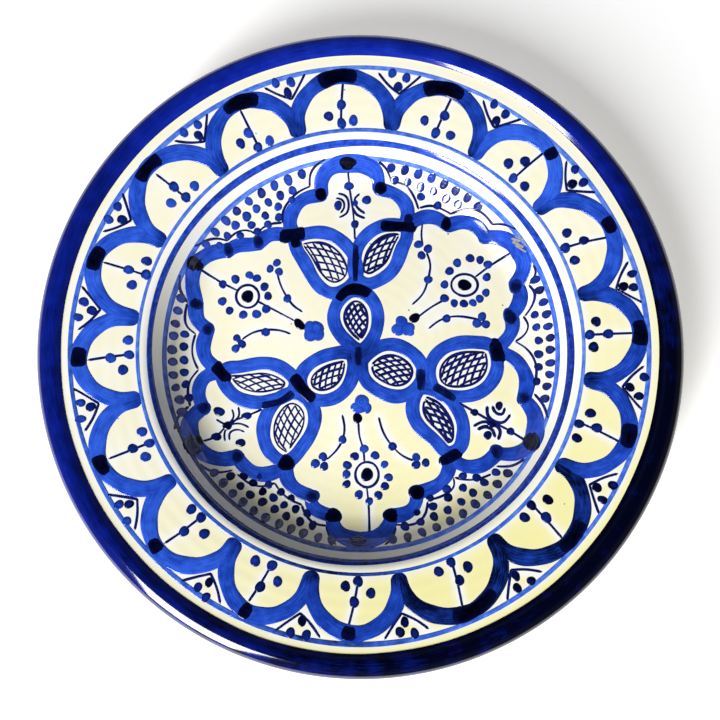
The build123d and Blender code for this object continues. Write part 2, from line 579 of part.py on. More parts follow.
floor_line_face = ring(floor_line, floor_line_width) - fitted(covered) - fitted(echo_face) - fitted(ground_face)
well_line_face = ring(border_radius - well_line_drop - well_line_width + 2.4, well_line_width)

pieces = {
    "clay_body": clay_body,
    "foot_ring": foot_ring,
    "face_glaze": face_glaze,
    "back_glaze": back_glaze,
    "base_glaze": base_glaze,
    "lip_band": lip_band,
    "border_lines": laid(line_face, shell),
    "border_arches": laid(arch_face, shell),
    "crown_dabs": laid(crown_face, shell),
    "arch_stems": laid(stem_face, shell),
    "arch_dots": laid(arch_dot_face, shell),
    "spandrel_ticks": laid(tick_face, shell),
    "spandrel_dots": laid(tick_dot_face, shell),
    "well_line": laid(well_line_face, shell),
    "floor_line": laid(floor_line_face, shell),
    "medallion_outline": laid(fitted(outline_face), shell),
    "medallion_echo": laid(fitted(echo_face), shell),
    "pod_rings": laid(fitted(ring_face), shell),
    "pod_lattices": laid(fitted(lattice_face), shell),
    "junction_dabs": laid(fitted(dark_face), shell),
    "petal_stems": laid(fitted(fine_face), shell),
    "flower_eyes": laid(fitted(eye_face), shell),
    "pupils_and_calyxes": laid(fitted(pupil_face), shell),
    "tulip_buds": laid(fitted(bud_face), shell),
    "flower_dots": laid(fitted(petal_dot_face), shell),
    "sprig_dots": laid(fitted(sprig_dot_face), shell),
    "insect_curls": laid(fitted(curl_face), shell),
    "insect_spots": laid(fitted(insect_spot_face), shell),
    "ground_dots": laid(fitted(ground_face), shell),
}

os.makedirs("parts", exist_ok=True)
for name, piece in pieces.items():
    export_step(piece, f"parts/{name}.step")
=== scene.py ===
import bpy
import numpy as np
from mathutils import Matrix, Vector


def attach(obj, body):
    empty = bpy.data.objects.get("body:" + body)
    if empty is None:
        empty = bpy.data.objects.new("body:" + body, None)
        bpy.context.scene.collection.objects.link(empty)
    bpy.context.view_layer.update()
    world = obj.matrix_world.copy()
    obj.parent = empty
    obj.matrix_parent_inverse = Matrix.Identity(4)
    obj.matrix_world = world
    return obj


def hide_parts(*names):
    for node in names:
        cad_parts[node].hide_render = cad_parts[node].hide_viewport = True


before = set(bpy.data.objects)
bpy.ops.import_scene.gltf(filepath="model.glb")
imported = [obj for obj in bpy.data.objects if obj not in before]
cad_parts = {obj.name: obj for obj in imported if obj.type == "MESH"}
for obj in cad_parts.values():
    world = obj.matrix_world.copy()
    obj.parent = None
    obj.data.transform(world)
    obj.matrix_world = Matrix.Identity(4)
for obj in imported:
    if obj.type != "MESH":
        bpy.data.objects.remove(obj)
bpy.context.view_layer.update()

# ---------------------------------------------------------------- red clay
# The plate is thrown and turned in iron-rich red earthenware, fired at about 1000 degrees.
# The body is hidden under the glaze; the foot ring, a coil luted on and turned, stands bare.
# Bare fired clay is matt and warm, with fine sand and paler lime grains in it.


def linear(code, alpha=1.0):
    """sRGB hex code to linear RGBA: each channel is c/12.92 below 0.04045, else ((c+0.055)/1.055)^2.4."""
    channels = np.array([int(code[i:i + 2], 16) for i in (1, 3, 5)]) / 255
    light = np.where(channels <= 0.04045, channels / 12.92, ((channels + 0.055) / 1.055) ** 2.4)
    return (*light, alpha)


def add(tree, kind, ins=None, **settings):
    """One shader node with its settings, and each input either linked to a socket or given a value."""
    made = tree.nodes.new("ShaderNode" + kind)
    for name, value in settings.items():
        setattr(made, name, value)
    for key, value in (ins or {}).items():
        if isinstance(value, bpy.types.NodeSocket):
            tree.links.new(value, made.inputs[key])
        else:
            made.inputs[key].default_value = value
    return made


def begin(name):
    """A new node material with its own shader: returns the material, its tree and the shader."""
    material = bpy.data.materials.new(name)
    material.use_nodes = True
    tree = material.node_tree
    return material, tree, tree.nodes["Principled BSDF"]


red_clay, tree, shader = begin("fired red earthenware")
place = add(tree, "TexCoord").outputs["Object"]
# Slow clouds of tone 22 mm wide, sand of 0.8 mm, and a lime grain about 1 mm wide in each 3.4 mm.
cloud = add(tree, "TexNoise", {"Vector": place, "Scale": 1000 / 22, "Detail": 3.0}).outputs["Fac"]
sand = add(tree, "TexNoise", {"Vector": place, "Scale": 1000 / 0.8, "Detail": 2.0}).outputs["Fac"]
lime = add(tree, "TexVoronoi", {"Vector": place, "Scale": 1000 / 3.4}).outputs["Distance"]
grain = add(tree, "MapRange", {"Value": lime, "From Min": 0.12, "From Max": 0.2, "To Min": 1.0,
                               "To Max": 0.0})
tone = add(tree, "Mix", {0: cloud, 6: linear("#A2532E"), 7: linear("#C4764A")}, data_type="RGBA").outputs[2]
tone = add(tree, "Mix", {0: sand, 6: tone, 7: linear("#B4643C")}, data_type="RGBA").outputs[2]
tone = add(tree, "Mix", {0: grain.outputs[0], 6: tone, 7: linear("#DDB894")}, data_type="RGBA").outputs[2]
tree.links.new(tone, shader.inputs["Base Color"])
rough = add(tree, "MapRange", {"Value": sand, "To Min": 0.78, "To Max": 0.95}).outputs[0]
tree.links.new(rough, shader.inputs["Roughness"])
bump = add(tree, "Bump", {"Height": sand, "Strength": 0.5, "Distance": 0.0002}).outputs[0]
tree.links.new(bump, shader.inputs["Normal"])
for name in ("clay_body", "foot_ring"):
    for index in range(max(1, len(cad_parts[name].data.materials))):
        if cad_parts[name].material_slots:
            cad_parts[name].material_slots[index].material = red_clay
        else:
            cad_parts[name].data.materials.append(red_clay)

# ---------------------------------------------------------------- the thrown form
# Every coat follows the clay. The face runs flat over the floor, up the well's wall, along the
# sloping border and over a thick rolled lip; the underside runs back under it to the foot.
# Corners in mm as radius and height over the table, each with the radius the potter's rib left.
GLAZE = 0.5
FACE = np.array([(0, 16), (86, 16), (100.5, 34.6), (138.85, 41.6), (141.45, 43.3), (149.15, 43.3),
                 (149.15, 37.3)])
FACE_RADII = [16, 7, 5, 4.2, 5.5]
UNDER = np.array([(149.15, 37.3), (149.15, 34.9), (104.5, 28.2), (90, 11.2), (78, 9), (75.5, 9)])
UNDER_RADII = [2.2, 6, 14, 16]


def coat_line(corners, radii, distance, step=1.0):
    """Outline of a coat at a distance over the clay: each straight run shifted along its left normal,
    neighbouring runs met again, and each corner rounded by an arc whose radius grows or shrinks by
    that distance, so that all coats stay concentric. Returns points about a step apart."""
    runs = np.diff(corners, axis=0)
    ways = runs / np.linalg.norm(runs, axis=1)[:, None]
    sides = np.stack([-ways[:, 1], ways[:, 0]], axis=1)
    starts = corners[:-1] + sides * distance
    cross = ways[:-1, 0] * ways[1:, 1] - ways[:-1, 1] * ways[1:, 0]
    gap = starts[1:] - starts[:-1]
    reach = (gap[:, 0] * ways[1:, 1] - gap[:, 1] * ways[1:, 0]) / cross
    met = starts[:-1] + ways[:-1] * reach[:, None]
    line = [starts[:1]]
    for corner, before, after, radius, turn in zip(met, ways[:-1], ways[1:], radii, cross):
        size = radius + (-distance if turn > 0 else distance)
        angle = np.arccos(np.clip(before @ after, -1, 1))
        first = corner - before * size * np.tan(angle / 2)
        side = np.array([-before[1], before[0]]) * np.sign(turn)
        swing = np.linspace(0, angle, max(4, int(size * angle / step) + 2))[:, None]
        line.append(first + size * (before * np.sin(swing) + side * (1 - np.cos(swing))))
    line.append((corners[-1] + sides[-1] * distance)[None])
    joined = np.vstack(line)
    far = np.concatenate([[0], np.cumsum(np.linalg.norm(np.diff(joined, axis=0), axis=1))])
    counts = np.maximum(1, np.round(np.diff(far) / step)).astype(int)
    spans = [np.linspace(a, b, n, endpoint=False) for a, b, n in zip(far, far[1:], counts)]
    even = np.concatenate(spans + [[far[-1]]])
    return np.stack([np.interp(even, far, joined[:, 0]), np.interp(even, far, joined[:, 1])], axis=1)


def unevenness(x, y):
    """Height in mm by which the hand thrown form leaves the true one: two slow waves round the plate that
    grow with the square of the radius, and the shallow spiral of the potter's finger, 6 mm a turn."""
    radius, turn = np.hypot(x, y), np.arctan2(x, y)
    slow = (0.10 * np.sin(3 * turn + 1.0) + 0.07 * np.sin(5 * turn + 0.4)) * (radius / 150) ** 2
    spiral = 0.022 * np.sin(2 * np.pi * radius / 6 + turn) * np.clip((radius - 14) / 20, 0, 1)
    return slow + spiral


def lathe(line, around, wobble=1.0, shift=0.0):
    """Surface of revolution of a radius-height line that is closed or ends on the axis: the point at (line,
    turn) is (radius sin turn, radius cos turn, height + unevenness). Ends on the axis become one vertex."""
    turns = np.linspace(0, 2 * np.pi, around, endpoint=False) + shift
    on_axis = line[:, 0] < 1e-6
    open_line = line[~on_axis]
    x = open_line[:, :1] * np.sin(turns)
    y = open_line[:, :1] * np.cos(turns)
    z = open_line[:, 1:] + wobble * unevenness(x, y)
    verts = np.stack([x, y, z], axis=-1).reshape(-1, 3)
    rows = len(open_line)
    index = np.arange(rows * around).reshape(rows, around)
    beside = np.roll(index, -1, axis=1)
    above = np.roll(index, -1, axis=0)
    above_beside = np.roll(beside, -1, axis=0)
    keep = rows if not on_axis.any() else rows - 1
    quads = np.stack([index, beside, above_beside, above], axis=-1)[:keep].reshape(-1, 4)
    tris = np.empty((0, 3), int)
    if on_axis.any():
        poles = line[on_axis]
        verts = np.vstack([verts, np.stack([0 * poles[:, 0], 0 * poles[:, 0], poles[:, 1]], axis=1)])
        top, base = rows * around, rows * around + 1
        fan = np.stack([np.full(around, top), beside[0], index[0]], axis=1)
        back = np.stack([np.full(around, base), index[-1], beside[-1]], axis=1)
        tris = np.vstack([fan, back])
    return verts, quads, tris


def piece(name, verts, quads, tris, material, fields=None):
    """A mesh object at the origin from points in mm, faces, a material and one value a point for each
    field."""
    mesh = bpy.data.meshes.new(name)
    mesh.from_pydata((np.asarray(verts) * 0.001).tolist(), [], quads.tolist() + tris.tolist())
    mesh.polygons.foreach_set("use_smooth", np.ones(len(mesh.polygons), bool))
    for field, values in (fields or {}).items():
        place = mesh.attributes.new(field, "FLOAT", "POINT")
        place.data.foreach_set("value", np.asarray(values, float).ravel())
    mesh.materials.append(material)
    mesh.update()
    made = bpy.data.objects.new(name, mesh)
    bpy.context.scene.collection.objects.link(made)
    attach(made, "root")
    return made


face_top = coat_line(FACE, FACE_RADII, GLAZE, 1.15)


def face_height(x, y):
    """Height in mm of the glaze under a painted point: the coat's outline read at its radius, plus the
    unevenness."""
    radius = np.hypot(x, y)
    rising = face_top[:np.argmax(face_top[:, 0])]
    return np.interp(radius, rising[:, 0], rising[:, 1]) + unevenness(x, y)


painted = []

# ---------------------------------------------------------------- brushwork
# Cobalt and manganese ground in water, put on the unfired glaze with a round brush and melted in.
# A loaded brush leaves a low crowned ridge of colour: even in the middle, dark where it pools at
# the stroke's ends and edges, and streaked along its length where single hairs ran dry.


def polar(angle, radius):
    """Point in mm at degrees clockwise from the far edge and a radius, both numbers or arrays."""
    turn = np.radians(angle)
    return np.stack([radius * np.sin(turn), radius * np.cos(turn)], axis=-1)


def smooth(points, step=1.0, extra=0.0):
    """Even samples of the natural cubic spline through given points, by chord length, with both ends drawn
    straight on by an extra length. The second derivatives solve one tridiagonal system."""
    points = np.asarray(points, float)
    if len(points) == 2:
        points = np.array([points[0], points.mean(0), points[1]])
    spans = np.linalg.norm(np.diff(points, axis=0), axis=1)
    knots = np.concatenate([[0], np.cumsum(spans)])
    count = len(points)
    system = np.eye(count)
    right = np.zeros((count, 2))
    inner = np.arange(1, count - 1)
    system[inner, inner - 1] = spans[:-1]
    system[inner, inner] = 2 * (spans[:-1] + spans[1:])
    system[inner, inner + 1] = spans[1:]
    slopes = np.diff(points, axis=0) / spans[:, None]
    right[inner] = 6 * np.diff(slopes, axis=0)
    bend = np.linalg.solve(system, right)
    at = np.linspace(0, knots[-1], 24 * count)
    seg = np.clip(np.searchsorted(knots, at, side="right") - 1, 0, count - 2)
    h = spans[seg][:, None]
    a = (knots[seg + 1] - at)[:, None] / h
    b = 1 - a
    bent = (a**3 - a) * bend[seg] + (b**3 - b) * bend[seg + 1]
    curve = a * points[seg] + b * points[seg + 1] + bent * h**2 / 6
    if extra:
        tail = (curve[0] - curve[1]) / np.linalg.norm(curve[0] - curve[1]) * extra
        nose = (curve[-1] - curve[-2]) / np.linalg.norm(curve[-1] - curve[-2]) * extra
        curve = np.vstack([curve[0] + tail, curve, curve[-1] + nose])
    far = np.concatenate([[0], np.cumsum(np.linalg.norm(np.diff(curve, axis=0), axis=1))])
    even = np.linspace(0, far[-1], max(5, int(far[-1] / step) + 1))
    return np.stack([np.interp(even, far, curve[:, 0]), np.interp(even, far, curve[:, 1])], axis=1)


ACROSS = np.array([-1, -0.86, -0.55, 0, 0.55, 0.86, 1, 0.6, 0, -0.6])
CROWN = np.array([0, 0.62, 0.93, 1, 0.93, 0.62, 0, 0, 0, 0])
SUNK = np.array([0.03, 0, 0, 0, 0, 0, 0.03, 0.12, 0.12, 0.12])


def stroke(points, width, thick=0.2, step=1.0, round_ends=True, shake=0.05, key=0, load=0.35, ends=0.4,
           rim=0.1):
    """Closed skin of one stroke: across the path, a fixed low crown scaled to a half width that ends like a
    circle and shakes a little along the way; along the path, evenly spaced copies of it laid on the face.
    Returns points in mm, quads, end caps, and the fields along and across (mm) and load (0 to 1), which is
    the given load, plus ends times a fall off from both ends, plus rim times the fourth power of across."""
    path = smooth(points, step, width / 2 if round_ends else 0)
    way = np.gradient(path, axis=0)
    way /= np.linalg.norm(way, axis=1)[:, None]
    side = np.stack([-way[:, 1], way[:, 0]], axis=1)
    far = np.concatenate([[0], np.cumsum(np.linalg.norm(np.diff(path, axis=0), axis=1))])
    left = np.minimum(far, far[-1] - far) / (width / 2)
    half = width / 2 * np.sqrt(np.clip(1 - (1 - np.clip(left, 0, 1)) ** 2, 0.02, 1))
    half = half * (1 + shake * np.sin(far / 5.3 + key * 1.7) + shake * 0.6 * np.sin(far / 2.1 + key * 2.9))
    x = path[:, :1] + side[:, :1] * half[:, None] * ACROSS
    y = path[:, 1:] + side[:, 1:] * half[:, None] * ACROSS
    rise = thick * np.clip(left, 0.25, 1) ** 0.5
    z = face_height(x, y) + rise[:, None] * CROWN - SUNK
    rows, loop = x.shape
    verts = np.stack([x, y, z], axis=-1).reshape(-1, 3)
    index = np.arange(rows * loop).reshape(rows, loop)
    beside = np.roll(index, -1, axis=1)
    quads = np.stack([index[:-1], index[1:], beside[1:], beside[:-1]], axis=-1).reshape(-1, 4)
    caps = [index[0].tolist(), index[-1][::-1].tolist()]
    pooled = np.exp(-np.minimum(far, far[-1] - far) / (width * 0.7))
    fields = {
        "along": np.repeat(far + 37.0 * key, loop),
        "across": np.tile(ACROSS, rows) * width / 2,
        "load": np.clip(load + ends * pooled[:, None] + rim * ACROSS**4, 0, 1),
    }
    painted.append(path)
    return verts, quads, caps, fields


def dabs(spots, thick=0.24, sides=14, seed=1, load=None, rim=0.3):
    """Closed low domes, one for each (x, y, half width, half length, degrees): rings at fixed shares of a
    radius that two small waves of random phase make uneven, with one point at the top and one below. The
    load is the given one, or random, and changes by rim times the square of the share from the middle out."""
    spots = np.asarray(spots, float)
    rng = np.random.default_rng(seed)
    turn = np.linspace(0, 2 * np.pi, sides, endpoint=False)
    share = np.array([0.5, 0.85, 1.0])
    lift = np.array([0.94, 0.6, -0.1]) * thick
    phase = rng.uniform(0, 2 * np.pi, (len(spots), 2, 1))
    edge = 1 + 0.05 * np.sin(2 * turn + phase[:, 0]) + 0.04 * np.sin(3 * turn + phase[:, 1])
    u = (share[None, :, None] * edge[:, None, :]) * np.cos(turn) * spots[:, 2, None, None]
    v = (share[None, :, None] * edge[:, None, :]) * np.sin(turn) * spots[:, 3, None, None]
    lean = np.radians(spots[:, 4])[:, None, None]
    x = spots[:, 0, None, None] + u * np.cos(lean) - v * np.sin(lean)
    y = spots[:, 1, None, None] + u * np.sin(lean) + v * np.cos(lean)
    z = face_height(x, y) + lift[None, :, None]
    rings = np.stack([x, y, z], axis=-1).reshape(len(spots), -1, 3)
    ground = face_height(spots[:, 0], spots[:, 1])
    tops = np.stack([spots[:, 0], spots[:, 1], ground + thick], axis=1)[:, None]
    bases = np.stack([spots[:, 0], spots[:, 1], ground - 0.2], axis=1)[:, None]
    verts = np.concatenate([rings, tops, bases], axis=1)
    each = verts.shape[1]
    index = np.arange(3 * sides).reshape(3, sides)
    beside = np.roll(index, -1, axis=1)
    quads = np.stack([index[:-1], index[1:], beside[1:], beside[:-1]], axis=-1).reshape(-1, 4)
    fan = np.stack([np.full(sides, 3 * sides), index[0], beside[0]], axis=1)
    under = np.stack([np.full(sides, 3 * sides + 1), beside[2], index[2]], axis=1)
    jump = (np.arange(len(spots)) * each)[:, None, None]
    middle = rng.uniform(0.2, 0.6, len(spots)) if load is None else np.broadcast_to(load, len(spots))
    around = np.concatenate([np.repeat(share, sides), [0, 1]])
    fields = {
        "along": np.repeat(np.arange(len(spots)) * 11.0, each),
        "across": np.tile(around, len(spots)) * np.repeat(spots[:, 2], each),
        "load": np.clip(middle[:, None] + rim * around**2, 0, 1),
    }
    painted.append(spots[:, :2])
    tris = np.vstack([fan, under])
    return verts.reshape(-1, 3), (quads + jump).reshape(-1, 4), (tris + jump).reshape(-1, 3), fields


def gathered(name, parts, material, tint=None):
    """One object of many strokes or dabs: their points stacked, face numbers moved up, fields run together. A
    tint adds to the load by a function of x and y; the tints below paint shade and darker places in the
    brushwork."""
    verts = np.vstack([part[0] for part in parts])
    starts = np.cumsum([0] + [len(part[0]) for part in parts])
    quads = np.vstack([part[1] + start for part, start in zip(parts, starts)])
    rest = []
    for part, start in zip(parts, starts):
        rest += [[corner + int(start) for corner in face] for face in np.asarray(part[2]).tolist()]
    fields = {
        field: np.concatenate([part[3][field].ravel() for part in parts])
        for field in ("along", "across", "load")
    }
    if tint is not None:
        fields["load"] = np.clip(fields["load"] + tint(verts[:, 0], verts[:, 1]), 0, 1)
    mesh_rest = np.empty(len(rest), object)
    mesh_rest[:] = rest
    return piece(name, verts, quads, mesh_rest, material, fields)


def painted_shade_near_right(x, y):
    """Painted shade over the plate: a colour load that grows towards the near right side, which darkens the
    paint there.
    """
    return 0.12 * np.clip((x - 0.9 * y) / 150, -0.6, 1.2)


def cobalt(name, thin, body, thick, width, roughness=0.1, coarse=1.0, uneven=0.3):
    """Finish of brushed cobalt in glaze. Colour goes from thin to body to thick with the load field, changed
    by up to the uneven amount by a cloud of the given width in mm and by streaks 12 times as long as wide."""
    material, tree, shader = begin(name)
    place = add(tree, "TexCoord").outputs["Object"]
    along = add(tree, "Attribute", attribute_name="along").outputs["Fac"]
    across = add(tree, "Attribute", attribute_name="across").outputs["Fac"]
    load = add(tree, "Attribute", attribute_name="load").outputs["Fac"]
    hair = add(tree, "Math", {0: along, 1: 1 / (12 * 0.7 * coarse)}, operation="MULTIPLY").outputs[0]
    side = add(tree, "Math", {0: across, 1: 1 / (0.7 * coarse)}, operation="MULTIPLY").outputs[0]
    grid = add(tree, "CombineXYZ", {0: hair, 1: side}).outputs[0]
    streak = add(tree, "TexNoise", {"Vector": grid, "Scale": 1.0, "Detail": 2.0,
                                    "Roughness": 0.6}).outputs["Fac"]
    cloud = add(tree, "TexNoise", {"Vector": place, "Scale": 1000 / width, "Detail": 3.0}).outputs["Fac"]
    both = add(tree, "Mix", {0: 0.5, 2: streak, 3: cloud}, data_type="FLOAT").outputs[0]
    spread = add(tree, "MapRange", {"Value": both, "From Min": 0.3, "From Max": 0.7,
                                    "To Min": -uneven, "To Max": uneven})
    level = add(tree, "Math", {0: load, 1: spread.outputs[0]}, operation="ADD", use_clamp=True).outputs[0]
    low = add(tree, "MapRange", {"Value": level, "From Min": 0.0, "From Max": 0.5}).outputs[0]
    high = add(tree, "MapRange", {"Value": level, "From Min": 0.5, "From Max": 1.0}).outputs[0]
    tone = add(tree, "Mix", {0: low, 6: linear(thin), 7: linear(body)}, data_type="RGBA").outputs[2]
    tone = add(tree, "Mix", {0: high, 6: tone, 7: linear(thick)}, data_type="RGBA").outputs[2]
    tree.links.new(tone, shader.inputs["Base Color"])
    shader.inputs["Roughness"].default_value = roughness
    shader.inputs["IOR"].default_value = 1.6
    return material


# ---------------------------------------------------------------- border lines
# Two pale rings, one inside the lip and one outside the well, drawn with a thin wash while the
# plate turned on the wheel, so that they run true and only their width wanders a little.
pale_wash = cobalt("thin cobalt wash", "#86AAF6", "#3F6CDC", "#0C1648", 3.0)


def wheel_line(inner, width, thick=0.12, wander=0.25, key=0.0, step=1.6, load=0.35):
    """Closed skin of a line drawn on the turning plate: the stroke's crown carried round a circle whose
    radius and width wander by slow waves."""
    turns = np.linspace(0, 2 * np.pi, int(2 * np.pi * inner / step), endpoint=False)
    middle = inner + width / 2 + wander * np.sin(turns + key) + 0.4 * wander * np.sin(4 * turns + 2 * key)
    half = width / 2 * (1 + 0.1 * np.sin(3 * turns + key) + 0.06 * np.sin(11 * turns + 3 * key))
    radius = middle[:, None] + half[:, None] * ACROSS
    x, y = radius * np.sin(turns)[:, None], radius * np.cos(turns)[:, None]
    z = face_height(x, y) + thick * CROWN - SUNK
    rows, loop = x.shape
    index = np.arange(rows * loop).reshape(rows, loop)
    beside, after = np.roll(index, -1, axis=1), np.roll(index, -1, axis=0)
    quads = np.stack([index, beside, np.roll(beside, -1, axis=0), after], axis=-1).reshape(-1, 4)
    fields = {
        "along": np.repeat(turns * inner, loop),
        "across": np.tile(ACROSS, rows) * width / 2,
        "load": np.full(rows * loop, load) + np.repeat(0.1 * np.sin(2 * turns + key), loop),
    }
    painted.append(np.stack([middle * np.sin(turns), middle * np.cos(turns)], axis=1))
    return np.stack([x, y, z], axis=-1).reshape(-1, 3), quads, np.empty((0, 3), int), fields




def shaded_side(x, y):
    """Painted shade: a colour load that grows towards the near left of the plate with the square of the
    distance that way.
    """
    return np.clip((-0.59 * x - 0.81 * y) / 100, 0, 1) ** 2


def near_turn(x, y):
    """Angle in degrees round the plate from its near edge, positive to the right."""
    return np.degrees(np.arctan2(x, -y))


# Painted shade darkens both rings towards the near left, most just left of the near edge.
lines = gathered(
    "pale_rings_on_border",
    [wheel_line(132.1, 2.3, wander=0.7, key=-2.4), wheel_line(103.4, 1.8, key=2, load=0.4)],
    pale_wash,
    lambda x, y: 0.25 * shaded_side(x, y) + 0.3 * np.exp(-((near_turn(x, y) + 8) / 14) ** 2),
)
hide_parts("border_lines")

# ---------------------------------------------------------------- border arches
# Sixteen arches, each one stroke of a 7 mm round brush from foot to foot. Neighbours share their feet, where
# the second stroke lies over the first and the colour doubles. Each arch took its own amount of colour, and
# painted shade makes the near right ones the darkest.
ARCH_FEET = np.array([7.7, 30.3, 51.8, 76.3, 98, 120.5, 145.5, 170.8, 192.2, 212.8, 235, 257, 277.5, 298.2,
                      322, 343.7])
ARCH_CROWNS = np.array([129.6] * 8 + [130.4] * 5 + [131.1, 129.8, 129.6])
ARCH_LOADS_AND_SHADE = [0.4, 0.1, 0.36, 0.5, 0.45, 0.82, 0.86, 0.48, 0.42, 0.24, 0.22, 0.2, 0.24, 0.28, 0.4, 0.46]
brushed_cobalt = cobalt("brushed cobalt", "#3A6CF0", "#1D44B6", "#050D30", 6.0, uneven=0.34)


def arch_path(which, number=13):
    """Centreline of an arch: half of a slightly pointed oval in angle and radius, from foot to foot through
    its crown, the cosine and sine both raised to the power 1.1."""
    foot, following = ARCH_FEET[which], ARCH_FEET[(which + 1) % 16] + (360 if which == 15 else 0)
    swing = np.linspace(0, np.pi, number)
    across = np.sign(np.cos(swing)) * np.abs(np.cos(swing)) ** 1.1
    angle = (foot + following) / 2 - ((following - foot) / 2 - 0.15) * across
    return polar(angle, 108.2 + (ARCH_CROWNS[which] - 108.2) * np.clip(np.sin(swing), 0, 1) ** 1.1)


strokes = [stroke(arch_path(key), 7.6, key=key, shake=0.05, load=load + 0.03, ends=0.1)
           for key, load in enumerate(ARCH_LOADS_AND_SHADE)]
arches = gathered(
    "arches_of_border", strokes, brushed_cobalt,
    lambda x, y: 0.28 * np.clip((116 - np.hypot(x, y)) / 9, 0, 1)
    + 0.25 * np.exp(-(((x - 51) ** 2 + (y - 110) ** 2) / 100)),
)
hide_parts("border_arches")

# ---------------------------------------------------------------- crown dabs
# A brush full of thick manganese and cobalt pressed once on each crown: near black and glossy in
# the middle, thinning at its ends and edges into the blue below. Spans in degrees.
CROWN_SPANS = [
    (13, 22.5), (42.7, 46.3), (61.5, 66), (84, 90), (105.5, 111.5), (128, 136), (151, 162), (180.8, 184.5),
    (202, 205.5), (224, 228), (243, 248), (265.5, 270.5), (285.5, 291.5), (306.5, 314), (329.5, 338),
    (350.5, 359.5),
]
thick_black = cobalt("thick black cobalt", "#2248C0", "#0A1242", "#01020C", 3.0, 0.08, uneven=0.2)


def crown_path(which, span):
    """The part of an arch's centreline between two angles, shortened by the round ends of the brush."""
    path = arch_path(which, 241)
    angle = np.degrees(np.arctan2(path[:, 0], path[:, 1])) % 360
    middle, half = (span[0] + span[1]) / 2, max((span[1] - span[0]) / 2 - 1.2, 0.35)
    return path[np.abs(angle - middle) < half][::3]


strokes = [
    stroke(crown_path(key, span), 6.9, 0.3, key=key, shake=0.1, step=0.7, load=1.05, ends=-0.45, rim=-0.45)
    for key, span in enumerate(CROWN_SPANS)
]
crowns = gathered("dabs_on_crowns", strokes, thick_black)
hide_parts("crown_dabs")

# ---------------------------------------------------------------- arch stems and dots
# A fine liner draws one stem in each arch, from under the crown down to the foot line, and the
# tip of a round brush sets four dots on and beside it. Angles of the stems' tops and feet, and for
# each arch the angle and radius of the upper, lower, left and right dot.
STEM_TOPS = np.array([19.8, 43, 65.8, 87, 110.2, 133.7, 158.8, 182.6, 203.8, 224.9, 246, 267.2, 288.2,
                      310.2, 333, 356])
STEM_FEET = np.array([18.9, 41.8, 63.7, 86.7, 109, 132.7, 157.2, 180.8, 202.3, 223.3, 245.7, 268.3, 288.6,
                      310.6, 333, 354.8])
ARCH_DOTS = np.array([
    (19.7, 117.5), (19, 108.7), (15.5, 112.7), (22.7, 110),
    (41.2, 117.7), (41.7, 108.3), (38.5, 112.2), (45.2, 109.2),
    (64.2, 116.3), (63.8, 107.2), (60.7, 111.2), (67.6, 108.7),
    (86.8, 115.3), (86.7, 107), (83.6, 110.5), (89.8, 108.5),
    (108.9, 115), (109.3, 107), (106, 110.5), (112.8, 108.2),
    (132.7, 115.2), (132.9, 106.8), (129.3, 110.7), (136.2, 108.3),
    (157.2, 115.3), (157.4, 106.6), (154.2, 111.5), (161, 108.5),
    (181.6, 116), (180.8, 107), (177.8, 112.2), (183.8, 109.3),
    (202.8, 118.3), (202.2, 107.8), (199.6, 113.4), (206.3, 109),
    (223.8, 116.7), (223.2, 107.2), (220, 111.5), (226.3, 107.7),
    (246, 114.9), (245.6, 107.2), (243, 111.3), (248.9, 108.4),
    (267.5, 116.2), (268.2, 108), (264.6, 111), (271.8, 108.6),
    (288.5, 114.7), (288.8, 106.5), (285.3, 111.2), (292, 108.6),
    (310.7, 116.5), (310.7, 109.3), (307.3, 112.7), (314.2, 110),
    (332.3, 115.3), (332.8, 107.5), (329.5, 112.8), (336.2, 108),
    (355.3, 116.3), (355, 107.8), (352, 111.7), (358, 108.8),
])
fine_navy = cobalt("fine navy line", "#1C2A84", "#0C124A", "#04061E", 2.0, 0.12)
dot_blue = cobalt("dotted cobalt", "#2A52C8", "#122882", "#04072A", 3.0, 0.1)
strokes = [
    stroke(polar(np.array([top, 0.45 * top + 0.55 * foot, foot]), np.array([126.0, 116.5, 107.0])), 1.25,
           0.12, 1.2, key=key)
    for key, (top, foot) in enumerate(zip(STEM_TOPS, STEM_FEET))
]
stems = gathered("stems_in_arches", strokes, fine_navy)
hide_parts("arch_stems")

rng = np.random.default_rng(16)
angles = ARCH_DOTS[:, 0]
spots = np.column_stack([polar(angles, ARCH_DOTS[:, 1]), rng.uniform(2.2, 2.5, 64),
                         rng.uniform(2.4, 2.75, 64), -angles])
# Painted shade darkens these dots towards the near right.
dots = gathered("dots_in_arches", [dabs(spots, seed=2)], dot_blue, lambda x, y: 3 * painted_shade_near_right(x, y))
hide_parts("arch_dots")

# ---------------------------------------------------------------- spandrels
# Between the arches: a V in fine line, filled with three dots. Those along the near left side
# were set 1.5 mm further out.
LIFTS = np.array([0] * 8 + [1.6, 1.4, 1.4, 1.4, 0.2, 1.0, 0.3, 0.6])
strokes = []
for key, (foot, lift) in enumerate(zip(ARCH_FEET, LIFTS)):
    apex = polar(foot + 0.7, 122.2 + lift)
    strokes.append(stroke([apex, polar(foot - 1.9, 125.8 + lift), polar(foot - 4, 130.5 + lift)], 1.3, 0.14,
                          1.0, key=key))
    strokes.append(stroke([apex, polar(foot + 2.8, 127 + lift), polar(foot + 4.6, 132 + lift)], 1.3, 0.14,
                          1.0, key=key + 20))
ticks = gathered("ticks_in_spandrels", strokes, fine_navy)
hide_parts("spandrel_ticks")

